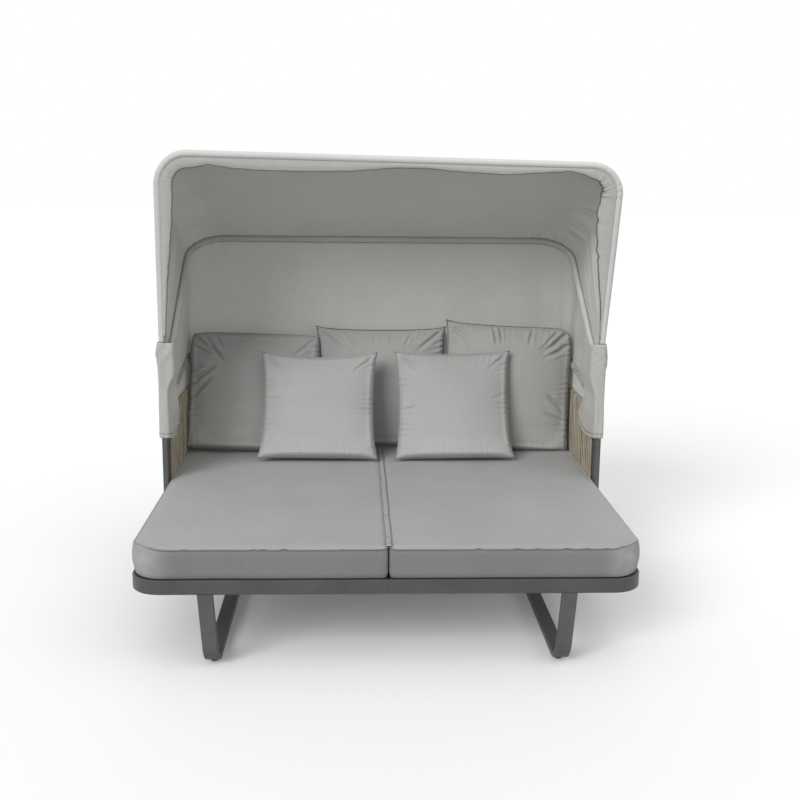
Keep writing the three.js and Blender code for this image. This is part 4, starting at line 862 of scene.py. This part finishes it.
def corner_cover(sign, side, seed, flap_low, taper_low):
    levels = steps(cover_hem, cover_top, 70)
    rows = np.array([cover_row(high, flap_low, taper_low) for high in levels])
    grid = rows[..., :3].copy()
    along = distance_along(grid[len(grid) // 2])[None]
    t = ((levels - cover_hem) / (cover_top - cover_hem))[:, None]
    normal = np.cross(np.gradient(grid, axis=1), [0, 0, 1.0])
    normal /= np.linalg.norm(normal, axis=2)[..., None]
    if normal[0, 0, 0] < 0:
        normal = -normal
    place, high = rows[..., 3], grid[..., 2]
    near = np.exp(-((grid[..., 1] - pivot_y) ** 2 + (high - pivot_z) ** 2) / 0.050 ** 2)
    near = np.where(place == on_outside, near, 0)
    near += np.where(place == on_front, 0.9 * np.exp(-((high - 0.985) / 0.040) ** 2), 0)
    upright = 0.0032 * np.sin(along * 150 + 1.2 * np.sin(6 * t) + seed) * (0.35 + 0.65 * (1 - t))
    creases = 0.0026 * near * np.sin(75 * (high - pivot_z) + 60 * (grid[..., 1] - pivot_y)
                                      + 110 * (grid[..., 0] - 0.9) + seed)
    creases += 0.0018 * near * np.sin(190 * (high - pivot_z) - 40 * grid[..., 1] - 150 * grid[..., 0]
                                       + 2 * seed)
    slack = 0.0042 * np.sin(21 * (high - arm_top) + 0.8 * seed) * np.sin(along * 34 + seed)
    shift = np.where(place == on_flap, upright * 1.5 + slack * 0.6, upright + slack * 0.5) + creases
    shift = 0.0020 + 0.0032 * np.tanh((shift - 0.0008) / 0.0036)
    grid = grid + normal * shift[..., None]
    grid *= [sign, 1, 1]
    piece = sheet_piece(side + "corner_cloth", grid, canopy_canvas, thickness=0.0014)
    belongs(piece, "daybed", side + "corner_cover")
    away = normal * [sign, 1, 1]
    seam(side + "corner_hem_seam", grid[3] + away[3] * 0.0016, 0.0009, cover_thread)
    seam(side + "corner_hem_edge", grid[0], 0.0013, canopy_canvas)


corner_cover(1, "right_", 0.7, 0.429, 0.185)
corner_cover(-1, "left_", 2.9, 0.320, 0.150)


# Seat cushions: two foam box cushions side by side in a heathered grey fabric, with a crowned top,
# drawn-in sides and a sewn seam round the top edge. Their walls are painted darker than the top, as
# painted shade that fades out towards the outer corners, and a near-black line round the bottom edge
# is painted shadow where the cushion meets the rail. The padding is blown up by cloth simulation.
seat_weave = {"thread": 0.0014, "weave_depth": 0.22}
heather_fabric = canvas("heathered_seat_fabric", "#ADAEAD", "#A0A1A0", sheen=0.12, **seat_weave)
# The walls take a darker copy of the seat fabric: painted shade. near_corner lifts it back to the seat's
# tone towards the outer corners.
wall_fabric_with_painted_shade = canvas("heathered_wall_fabric_with_painted_shade", "#868786", "#7C7D7C", sheen=0.10, **seat_weave)
tree = wall_fabric_with_painted_shade.node_tree
near_corner = node(tree, "ShaderNodeAttribute", {"attribute_name": "near_corner"}).outputs["Fac"]
scale_colour(tree, tree.nodes["Principled BSDF"], spread(tree, near_corner, 0.0, 1.0, 1.0, 1.75))
cushion_seam = thread_material("cushion_seam_thread", "#4E4E4E", "#6C6C6B")
top_seam = thread_material("cushion_top_seam_thread", "#747473", "#8C8C8B")
# A near-black line round the bottom of each cushion: painted shadow where the cushion meets the rail.
painted_shadow_line = thread_material("cushion_painted_shadow_line", "#111213", "#1D1F21")

cushion_low, cushion_seam_height = 0.3316, 0.4443
cushion_side, cushion_front, cushion_rear = 0.898, -0.8170, 0.7785
centre_gap = 0.0030
cushion_radii = (0.014, 0.112, 0.030, 0.014)
crown_rise, crown_width, rim_drop = 0.0136, 0.046, 0.005
highest, nearest_middle, widest, foremost, rearmost = 0.4590, 0.0012, 0.9036, -0.8198, 0.7812
painted_shade_fade_from, painted_shade_fade_over = 0.735, 0.135
front_seam_behind, front_seam_inside = 0.011, 0.070
form_cells, wall_cells, seat_tops = (52, 94), 8, {}


def rounded_plan(x0, x1, y0, y1, radii, nx, ny):
    """A grid over a rectangle with rounded corners, from the front left one round to the rear left."""
    gx, gy = np.meshgrid(steps(x0, x1, nx + 1), steps(y0, y1, ny + 1), indexing="ij")
    for cx, cy, sx, sy, r in ((x0, y0, -1, -1, radii[0]), (x1, y0, 1, -1, radii[1]),
                              (x1, y1, 1, 1, radii[2]), (x0, y1, -1, 1, radii[3])):
        dx, dy = (gx - (cx - sx * r)) * sx, (gy - (cy - sy * r)) * sy
        inside = (dx > 0) & (dy > 0)
        length = np.hypot(dx, dy)
        scale = np.where(inside, np.maximum(dx, dy) / np.maximum(length, 1e-9), 1)
        gx = np.where(inside, cx - sx * r + sx * dx * scale, gx)
        gy = np.where(inside, cy - sy * r + sy * dy * scale, gy)
    return gx, gy


def box_of_cloth(gx, gy, low, high, rise, walls):
    """A closed box: a top and a bottom over the same plan and walls between their rims.
    Gives the points, faces, cut coordinates and the two rims."""
    nx, ny = gx.shape[0] - 1, gx.shape[1] - 1
    rim = ([(i, 0) for i in range(nx)] + [(nx, j) for j in range(ny)]
           + [(i, ny) for i in range(nx, 0, -1)] + [(0, j) for j in range(ny, 0, -1)])
    top = np.stack([gx, gy, high + rise], -1).reshape(-1, 3)
    bottom = np.stack([gx, gy, np.full_like(gx, low)], -1).reshape(-1, 3)
    top_rim = [i * (ny + 1) + j for i, j in rim]
    bottom_rim = [len(top) + k for k in top_rim]
    points = [*top, *bottom]
    faces = [tuple(f) for f in grid_faces(nx + 1, ny + 1)]
    faces += [tuple(int(k) + len(top) for k in f[::-1]) for f in faces]
    rings = [bottom_rim]
    for share in np.arange(1, walls) / walls:
        rings.append([len(points) + k for k in range(len(rim))])
        points += [points[a] * (1 - share) + points[b] * share for a, b in zip(bottom_rim, top_rim)]
    rings.append(top_rim)
    for lower, upper in zip(rings, rings[1:]):
        for k in range(len(rim)):
            n = (k + 1) % len(rim)
            faces.append((lower[k], lower[n], upper[n], upper[k]))
    points = np.array(points)
    return points, faces, points[:, :2] + points[:, 2:] * 0.7, top_rim, bottom_rim


def blow_up(points, faces, pressure, cap, frames, stiffness, bending, shrink, pin=None):
    """Cloth simulation under inner pressure without gravity. No point may move further than the cap."""
    mesh = bpy.data.meshes.new("padding")
    mesh.from_pydata(points.tolist(), [], [list(map(int, f)) for f in faces])
    pad = add_object("padding", mesh)
    cloth = pad.modifiers.new("cloth", "CLOTH")
    settings = cloth.settings
    settings.quality = 5
    settings.mass = 0.35
    settings.tension_stiffness = settings.compression_stiffness = stiffness
    settings.shear_stiffness = stiffness * 0.5
    settings.bending_stiffness = bending
    settings.air_damping = 2.0
    settings.use_pressure = True
    settings.uniform_pressure_force = pressure
    settings.shrink_min = shrink
    settings.effector_weights.gravity = 0
    cloth.collision_settings.use_collision = False
    if pin is not None:
        group = pad.vertex_groups.new(name="held")
        for index, weight in enumerate(pin):
            if weight > 0:
                group.add([index], float(weight), "REPLACE")
        settings.vertex_group_mass = "held"
        settings.pin_stiffness = 1.0
    cloth.point_cache.frame_start, cloth.point_cache.frame_end = 1, frames
    scene = bpy.context.scene
    for number in range(1, frames + 1):
        scene.frame_set(number)
    shown = pad.evaluated_get(bpy.context.evaluated_depsgraph_get())
    moved = np.zeros(len(points) * 3)
    shown.data.vertices.foreach_get("co", moved)
    moved = moved.reshape(-1, 3)
    bpy.data.objects.remove(pad)
    scene.frame_set(1)
    step = moved - points
    far = np.linalg.norm(step, axis=1)
    limited = cap * np.tanh(far / cap)
    return points + step * (limited / np.maximum(far, 1e-12))[:, None]


def subdivided(piece):
    layer = piece.modifiers.new("soft_surface", "SUBSURF")
    layer.levels = layer.render_levels = 1
    return piece


def seat_cushion_form():
    gx, gy = rounded_plan(centre_gap, cushion_side, cushion_front, cushion_rear, cushion_radii, *form_cells)
    edge = np.minimum.reduce([3.0 * (gx - centre_gap), cushion_side - gx, gy - cushion_front,
                              cushion_rear - gy])
    rise = crown_rise * np.sqrt(1 - (1 - np.clip(edge / crown_width, 0, 1)) ** 2)
    points, faces, uv, top_rim, bottom_rim = box_of_cloth(
        gx, gy, cushion_low, cushion_seam_height - rim_drop, rise, wall_cells)
    held = np.zeros(len(points))
    held[gx.size:2 * gx.size] = 1.0
    held[top_rim] = 1.0
    points = blow_up(points, faces, 2.4, 0.006, frames=14, stiffness=30.0, bending=0.8, shrink=-0.012,
                     pin=held)
    return points, faces, uv, top_rim, bottom_rim


form = seat_cushion_form()


def puckers(points, rim, spots, reach, width):
    """Short creases that run away from a seam. spots are (place along the seam in metres, depth)."""
    path = points[rim]
    run = distance_along(path)
    shift = np.zeros(len(points))
    for place, depth in spots:
        k = int(np.argmin(np.abs(run - place)))
        centre = path[k]
        way = path[(k + 1) % len(path)] - path[k - 1]
        way /= np.linalg.norm(way)
        away = points - centre
        along = away @ way
        aside = np.linalg.norm(away - np.outer(along, way), axis=1)
        shift -= depth * np.exp(-(along / width) ** 2) * np.exp(-(aside / reach) ** 2)
    return shift


def vertex_normals(points, faces):
    quads = np.array(faces).T
    normal = np.cross(points[quads[2]] - points[quads[0]], points[quads[3]] - points[quads[1]])
    total = np.zeros_like(points)
    for corners in quads:
        np.add.at(total, corners, normal)
    return total / np.maximum(np.linalg.norm(total, axis=1), 1e-12)[:, None]


def seat_cushion(sign, side, spots, seed):
    points, faces, uv, top_rim, bottom_rim = form
    points = points.copy()
    x, y, z = points.T
    normal = vertex_normals(points, faces)
    # the sides draw in a little between the seams, and the seams are drawn in by their stitching
    level = (z - cushion_low) / (cushion_seam_height - cushion_low)
    wall = (np.abs(normal[:, 2]) < 0.85) & (level > -0.05) & (level < 1.02)
    full = np.clip(level, 0, 1)
    shift = np.where(wall, 0.0056 * np.sin(math.pi * full) ** 0.7 - 0.0080 * (1 - smooth(full / 0.13)), 0)
    shift += puckers(points, top_rim, spots, 0.030, 0.009)
    wander = (np.sin(x * 9 + seed) * np.sin(y * 7 + 2 * seed)
              + 0.5 * np.sin(x * 23 + 2 * seed) * np.sin(y * 17 + seed))
    shift += np.where(normal[:, 2] > 0.7, 0.0016, 0.0006) * wander
    points += normal * shift[:, None]
    x[:] = np.clip(x, nearest_middle, widest)
    y[:] = np.clip(y, foremost, rearmost)
    z[:] = np.clip(z, cushion_low - 0.0004, highest)
    points *= [sign, 1, 1]
    mirrored = [f[::-1] for f in faces] if sign < 0 else faces
    piece = subdivided(add_piece(side + "box_cushion", points, mirrored, heather_fabric, uv))
    # The walls take the fabric with painted shade, which near_corner fades out towards the outer corners.
    piece.data.materials.append(wall_fabric_with_painted_shade)
    border = np.zeros(len(faces), np.int32)
    border[-wall_cells * len(top_rim):] = 1
    piece.data.polygons.foreach_set("material_index", border)
    near = piece.data.attributes.new("near_corner", "FLOAT", "POINT")
    near.data.foreach_set("value", smooth((np.abs(x) - painted_shade_fade_from) / painted_shade_fade_over)
                          .astype(np.float32))
    belongs(piece, "daybed", side + "seat_cushion")
    seat_tops[sign] = z[:(form_cells[0] + 1) * (form_cells[1] + 1)].reshape(form_cells[0] + 1, -1)
    outward = normal * [sign, 1, 1]
    outward[:, 2] = 0
    outward /= np.maximum(np.linalg.norm(outward, axis=1), 1e-9)[:, None]
    front_part = [k for k in top_rim if y[k] < cushion_front + front_seam_behind
                  and abs(x[k]) < cushion_side - front_seam_inside]
    round_part = top_rim[len(front_part) - 1:] + top_rim[:1]
    # The closed line round the bottom rim is the near-black line of painted shadow over the rail.
    for name, part, shift, radius, thread, closed in (
            ("front_seam", front_part, [0, 0, 0.0002], 0.0013, top_seam, False),
            ("top_seam", round_part, [0, 0, 0], 0.0009, heather_fabric, False),
            ("painted_shadow_line", bottom_rim, [0, 0, 0.0026], 0.0028, painted_shadow_line, True)):
        reach = 0.0030 if closed else 0.0002
        seam(side + "cushion_" + name, points[part] + outward[part] * reach + shift, radius, thread,
             closed=closed)


seat_cushion(1, "right_", [(0.30, 0.004), (0.44, 0.0035), (0.52, 0.0030), (0.61, 0.0042), (0.69, 0.0032),
                           (0.76, 0.0026), (1.1, 0.003), (1.6, 0.003)], 1.3)
seat_cushion(-1, "left_", [(0.36, 0.0045), (0.42, 0.0040), (0.47, 0.0030), (0.16, 0.0022), (0.70, 0.0022),
                           (1.2, 0.003), (1.7, 0.003)], 2.1)


def seat_surface(x, y):
    """Height of the cushions' crowned tops at a place."""
    nx, ny = form_cells
    i = np.clip((np.abs(x) - centre_gap) / (cushion_side - centre_gap), 0, 1) * nx
    j = np.clip((y - cushion_front) / (cushion_rear - cushion_front), 0, 1) * ny
    i0, j0 = np.minimum(i.astype(int), nx - 1), np.minimum(j.astype(int), ny - 1)
    fi, fj = i - i0, j - j0
    height = np.zeros(np.shape(i))
    for sign, top in seat_tops.items():
        found = (top[i0, j0] * (1 - fi) * (1 - fj) + top[i0 + 1, j0] * fi * (1 - fj)
                 + top[i0, j0 + 1] * (1 - fi) * fj + top[i0 + 1, j0 + 1] * fi * fj)
        height = np.where((np.sign(x) == sign) | (height == 0), found, height)
    return height


# Joining strip: a bound band of the seat fabric lies over the joint between the two cushions from the
# front edge to the pillows, with a row of stitches near each side and three across its front part.
band_half, band_front, band_rear = 0.0135, -0.7985, 0.652


def joining_strip():
    rows, columns = 90, 9
    y = steps(band_front, band_rear, rows)
    sides = [seat_surface(np.full(rows, x), y) for x in (band_half, -band_half)]
    height = np.maximum(*sides) + 0.0002
    grid = np.zeros((rows, columns, 3))
    for k, s in enumerate(steps(-1, 1, columns)):
        grid[:, k, 0] = band_half * s + 0.0006 * np.sin(y * 17)
        grid[:, k, 1] = y
        grid[:, k, 2] = height - 0.0006 * s ** 4 + 0.0004 * np.sin(y * 31 + s) + 0.0012
    piece = sheet_piece("joining_band", grid, heather_fabric, thickness=0.0022)
    belongs(piece, "daybed", "cushion_joining_strip")
    lines = (grid[:, 1], grid[:, -2], grid[6, 1:-1], grid[22, 1:-1], grid[1])
    for number, line in enumerate(lines):
        seam(f"joining_band_stitch_{number + 1}", line + [0, 0, 0.0013], 0.0010, cushion_seam)


joining_strip()


# Pillows: two panels of fabric sewn face to face and filled, so the corners point, the sides draw in
# and the seams pucker. Cloth simulation blows each up from a filled shape; it is then set down where
# its solid stands.
pillow_fabric = canvas("heathered_pillow_fabric", "#AFAFAD", "#A4A4A2", sheen=0.12, **seat_weave)
# pillow_seam is a dark line along each pillow's rim: painted shadow of the seam.
pillow_seam = thread_material("pillow_seam_shadow", "#38393B", "#525355")
scatter_fabric = canvas("heathered_scatter_fabric", "#B0B0AE", "#A5A6A4", sheen=0.12, **seat_weave)


def flat_pillow(nx, ny):
    """Two square panels from -1 to 1, joined at the rim: their points, faces, rim and side.
    The side is -1 in front, 1 behind and 0 on the rim."""
    u, v = np.meshgrid(steps(-1, 1, nx + 1), steps(-1, 1, ny + 1), indexing="ij")
    front = np.stack([u, v], -1).reshape(-1, 2)
    index_front = np.arange(len(front)).reshape(nx + 1, ny + 1)
    inside = np.zeros_like(index_front, bool)
    inside[1:-1, 1:-1] = True
    index_back = index_front.copy()
    index_back[inside] = len(front) + np.arange(inside.sum())
    back = np.stack([u[inside], v[inside]], -1)
    faces = []
    for i, j in np.ndindex(nx, ny):
        for index, order in ((index_front, ((0, 0), (0, 1), (1, 1), (1, 0))),
                             (index_back, ((0, 0), (1, 0), (1, 1), (0, 1)))):
            faces.append(tuple(index[i + di, j + dj] for di, dj in order))
    rim = np.concatenate([index_front[:-1, 0], index_front[-1, :-1], index_front[:0:-1, -1],
                          index_front[0, :0:-1]])
    side = np.concatenate([np.full(len(front), -1.0), np.ones(len(back))])
    side[rim] = 0
    return np.concatenate([front, back]), faces, rim, side


simulated_cells, pillow_cells = (40, 38), (104, 98)
pillow_floor, side_room, rear_room = 0.4513, 0.8995, 0.7814
pillow_pressure, crease_deeper, crease_narrower = 1.6, 1.35, 0.9


def along_curve(cells, finer_cells):
    """Weights that carry a row of points over to a finer row on the smooth curve through them."""
    place = steps(0, cells, finer_cells + 1)
    first = np.clip(np.floor(place).astype(int), 0, cells - 1)
    f = place - first
    weights = np.zeros((finer_cells + 1, cells + 1))
    for shift, share in ((-1, -0.5 * f + f ** 2 - 0.5 * f ** 3), (0, 1 - 2.5 * f ** 2 + 1.5 * f ** 3),
                         (1, 0.5 * f + 2 * f ** 2 - 1.5 * f ** 3), (2, -0.5 * f ** 2 + 0.5 * f ** 3)):
        np.add.at(weights, (np.arange(finer_cells + 1), np.clip(first + shift, 0, cells)), share)
    return weights


def sewn_pillow(width, height, swell, pressure, draw, corners, forward):
    """The filled pillow about its own middle: across, through (negative to the front) and up."""
    flat, faces, rim, side = flat_pillow(*simulated_cells)
    u, v = flat[:, 0], flat[:, 1]
    foot_full = np.where(v < 0, 1 - np.abs(v) ** 4.5, 1 - v * v)
    puff = np.sqrt(np.clip((1 - u * u) * foot_full, 0, 1))
    draw_down = np.where(v > 0, draw[1], 0.08 * draw[1])
    blown = np.stack([u * width / 2 * (1 - draw[0] * np.clip(1 - v * v, 0, 1) ** draw[2]),
                      side * 0.94 * swell * puff ** 0.84,
                      v * height / 2 * (1 - draw_down * np.clip(1 - u * u, 0, 1) ** draw[2])], -1)
    blown = blow_up(blown, faces, pressure, 0.012, frames=16, stiffness=45.0, bending=0.05,
                    shrink=-0.05)
    # the same surface on a finer grid, one panel after the other
    nx, ny = simulated_cells
    front = blown[:(nx + 1) * (ny + 1)].reshape(nx + 1, ny + 1, 3)
    back = front.copy()
    back[1:-1, 1:-1] = blown[(nx + 1) * (ny + 1):].reshape(nx - 1, ny - 1, 3)
    across, up = along_curve(nx, pillow_cells[0]), along_curve(ny, pillow_cells[1])
    front, back = (np.einsum("ai,ijk,bj->abk", across, panel, up) for panel in (front, back))
    flat, faces, rim, side = flat_pillow(*pillow_cells)
    blown = np.concatenate([front.reshape(-1, 3), back[1:-1, 1:-1].reshape(-1, 3)])
    u, v = flat[:, 0], flat[:, 1]
    # a corner is rounded off, or drawn out to a point where the amount is negative
    upper, lower = (np.where(u < 0, *pair) for pair in (corners[:2], corners[2:]))
    amount = np.where(v > 0, upper, lower) * (np.abs(u) * np.abs(v)) ** 7
    blown[:, 0] -= np.sign(u) * amount
    blown[:, 2] -= np.sign(v) * amount
    for axis, size in ((0, width), (2, height)):
        low, high = blown[:, axis].min(), blown[:, axis].max()
        blown[:, axis] = (blown[:, axis] - (low + high) / 2) * size / (high - low)
    for at in (side == -1, side == 1):
        blown[at, 1] *= swell / np.percentile(np.abs(blown[at, 1]), 97)
    # the seams pucker: short pleats that run in from each side
    for across, length, seed, most in ((u, v * height / 2, 71, 0.0070), (v, u * width / 2, 72, 0.0042)):
        for way in (-1, 1):
            reach = (1 - way * across) * 0.5 * (width if across is u else height)
            pleat = ripple(length + 0.10 * reach, 0.026, 0.4 * way, seed + way) * np.exp(-reach / 0.036)
            pleat = pleat * np.clip(reach / 0.010, 0, 1) * (0.55 + 0.45 * np.sin(length * 31 + seed * way))
            blown[:, 1] -= side * most * pleat
    # the foot is pushed forward under the weight, so its seam lies on the seat in front
    blown[:, 1] -= forward * smooth((-v - 0.62) / 0.38)
    return blown, faces, rim, flat


def crease(blown, flat, start, end, depth, width):
    """A valley pressed into the front panel along a line, both ends in the panel's -1 to 1 coordinates."""
    start, end = np.array(start, float), np.array(end, float)
    run = end - start
    t = np.clip(((flat - start) @ run) / (run @ run), 0, 1)
    away = np.linalg.norm(flat - start - t[:, None] * run, axis=1)
    bend = depth * np.exp(-(away / width) ** 2) * np.sin(math.pi * np.clip(0.06 + 0.88 * t, 0, 1)) ** 0.7
    ridge = -0.45 * depth * np.exp(-((away - 1.9 * width) / (1.2 * width)) ** 2) * np.sin(math.pi * t)
    blown[:, 1] += np.where(blown[:, 1] < 0.002, bend + ridge, 0)


def set_down(blown, middle, foot, height, lean, roll):
    """Lean and roll as the CAD solid stands; sunk into the seat, the ropes and the back where it rests."""
    tilt, turn = math.radians(lean), math.radians(roll)
    x = blown[:, 0] * math.cos(turn) + blown[:, 2] * math.sin(turn)
    h = blown[:, 2] * math.cos(turn) - blown[:, 0] * math.sin(turn) + height / 2
    placed = np.stack([middle + x, foot + h * math.sin(tilt) + blown[:, 1] * math.cos(tilt),
                       pillow_floor + h * math.cos(tilt) - blown[:, 1] * math.sin(tilt)], -1)
    soft = 0.004
    seat = seat_surface(placed[:, 0], placed[:, 1]) + 0.0008
    floor_gap = placed[:, 2] - seat
    placed[:, 2] = seat + np.where(floor_gap < 0.05, soft * np.logaddexp(0, floor_gap / soft), floor_gap)
    placed[:, 0] = np.clip(placed[:, 0], -side_room, side_room)
    low = placed[:, 2] < arm_top + 0.010
    placed[:, 1] = np.where(low, np.minimum(placed[:, 1], rear_room), placed[:, 1])
    return placed


def pillow_piece(place, kind, fabric, size, stance, draw, corners, creases, forward=0.018, line=0.0017,
                 closing=None):
    """A pillow with its welt and a dark line of painted shadow along its seam. closing is the height of its
    closing seam, from -1 to 1.
    """
    name = f"{place}_{kind}_pillow"
    width, height, swell = size
    blown, faces, rim, flat = sewn_pillow(width, height, swell, pillow_pressure, draw, corners, forward)
    for start, end, depth, wide in creases:
        crease(blown, flat, start, end, depth * crease_deeper, wide * crease_narrower)
    middle, foot, lean, roll = stance
    placed = set_down(blown, middle, foot, height, lean, roll)
    piece = add_piece(name, placed, faces, fabric, flat * [width / 2, height / 2])
    belongs(piece, "daybed", f"{kind}_pillow_{place}")
    normal = vertex_normals(placed, faces)
    seam(name + "_welt", placed[rim] + normal[rim] * 0.0005, 0.0021, fabric, closed=True)
    # The dark line beside the welt is painted shadow.
    seam(name + "_seam", placed[rim] + normal[rim] * 0.0020 + [0, -0.0022, 0], line, pillow_seam,
         closed=True)
    if closing is not None:
        nx, ny = pillow_cells
        row = np.arange(1, nx) * (ny + 1) + round((closing + 1) / 2 * ny)
        seam(name + "_closing_seam", placed[row] + normal[row] * 0.0012, 0.0012, cushion_seam)


scatter_seams = {"forward": 0.030, "line": 0.0013, "closing": -0.93}
pillow_piece("left", "back", pillow_fabric, (0.604, 0.552, 0.080),
             (-0.596, 0.564, 16.5, 1.5), (0.035, 0.020, 0.5), (0.018, 0.010, 0.006, 0.006),
             [((-0.95, 0.93), (-0.55, 0.60), 0.010, 0.035), ((-0.80, 0.96), (-0.48, 0.50), 0.008, 0.030),
              ((-0.97, 0.75), (-0.50, 0.55), 0.008, 0.030), ((-0.97, 0.10), (-0.62, 0.42), 0.012, 0.045),
              ((-0.97, -0.15), (-0.66, 0.22), 0.010, 0.040), ((-0.60, 0.97), (-0.50, 0.72), 0.006, 0.025),
              ((0.95, 0.93), (0.62, 0.62), 0.007, 0.035), ((0.30, 0.98), (0.26, 0.78), 0.004, 0.025)])
pillow_piece("middle", "back", pillow_fabric, (0.618, 0.572, 0.065),
             (0.004, 0.666, 8.0, 0.0), (0.045, 0.070, 0.6), (-0.004, -0.003, 0.004, 0.004),
             [((-0.95, 0.95), (-0.60, 0.66), 0.008, 0.035), ((0.95, 0.95), (0.60, 0.66), 0.008, 0.035),
              ((-0.55, 0.98), (-0.42, 0.74), 0.005, 0.025), ((0.50, 0.98), (0.38, 0.74), 0.005, 0.025),
              ((-0.10, 0.97), (-0.12, 0.80), 0.004, 0.022), ((0.16, 0.97), (0.14, 0.80), 0.004, 0.022)])
pillow_piece("right", "back", pillow_fabric, (0.604, 0.600, 0.076),
             (0.594, 0.600, 7.0, 2.6), (0.045, 0.050, 0.6), (-0.008, 0.030, 0.004, 0.006),
             [((-0.28, 0.99), (-0.24, 0.72), 0.012, 0.026), ((-0.18, 0.99), (-0.16, 0.76), 0.010, 0.022),
              ((0.34, 0.99), (0.30, 0.74), 0.009, 0.026), ((0.95, 0.95), (0.52, 0.60), 0.012, 0.040),
              ((0.78, 0.98), (0.50, 0.66), 0.009, 0.030), ((0.97, 0.72), (0.56, 0.52), 0.009, 0.035),
              ((-0.95, 0.95), (-0.62, 0.66), 0.008, 0.035), ((0.97, -0.35), (0.66, -0.12), 0.011, 0.042),
              ((0.97, -0.55), (0.62, -0.40), 0.009, 0.035)])
pillow_piece("left", "scatter", scatter_fabric, (0.541, 0.505, 0.062),
             (-0.286, 0.384, 22.0, 0.5), (0.085, 0.120, 0.8), (-0.003, -0.004, -0.006, -0.006),
             [((-0.95, 0.94), (-0.66, 0.70), 0.007, 0.030), ((0.95, 0.94), (0.66, 0.70), 0.007, 0.030),
              ((-0.97, 0.10), (-0.74, 0.08), 0.005, 0.030), ((0.97, -0.10), (0.74, -0.08), 0.005, 0.030)],
             **scatter_seams)
pillow_piece("right", "scatter", scatter_fabric, (0.541, 0.505, 0.062),
             (0.331, 0.392, 20.0, -0.6), (0.080, 0.075, 0.8), (-0.003, -0.003, -0.006, -0.006),
             [((-0.95, 0.94), (-0.66, 0.70), 0.007, 0.030), ((0.95, 0.94), (0.66, 0.70), 0.007, 0.030),
              ((-0.97, -0.12), (-0.72, -0.06), 0.006, 0.030), ((0.97, 0.16), (0.74, 0.10), 0.005, 0.030)],
             **scatter_seams)

bpy.context.scene.frame_set(1)
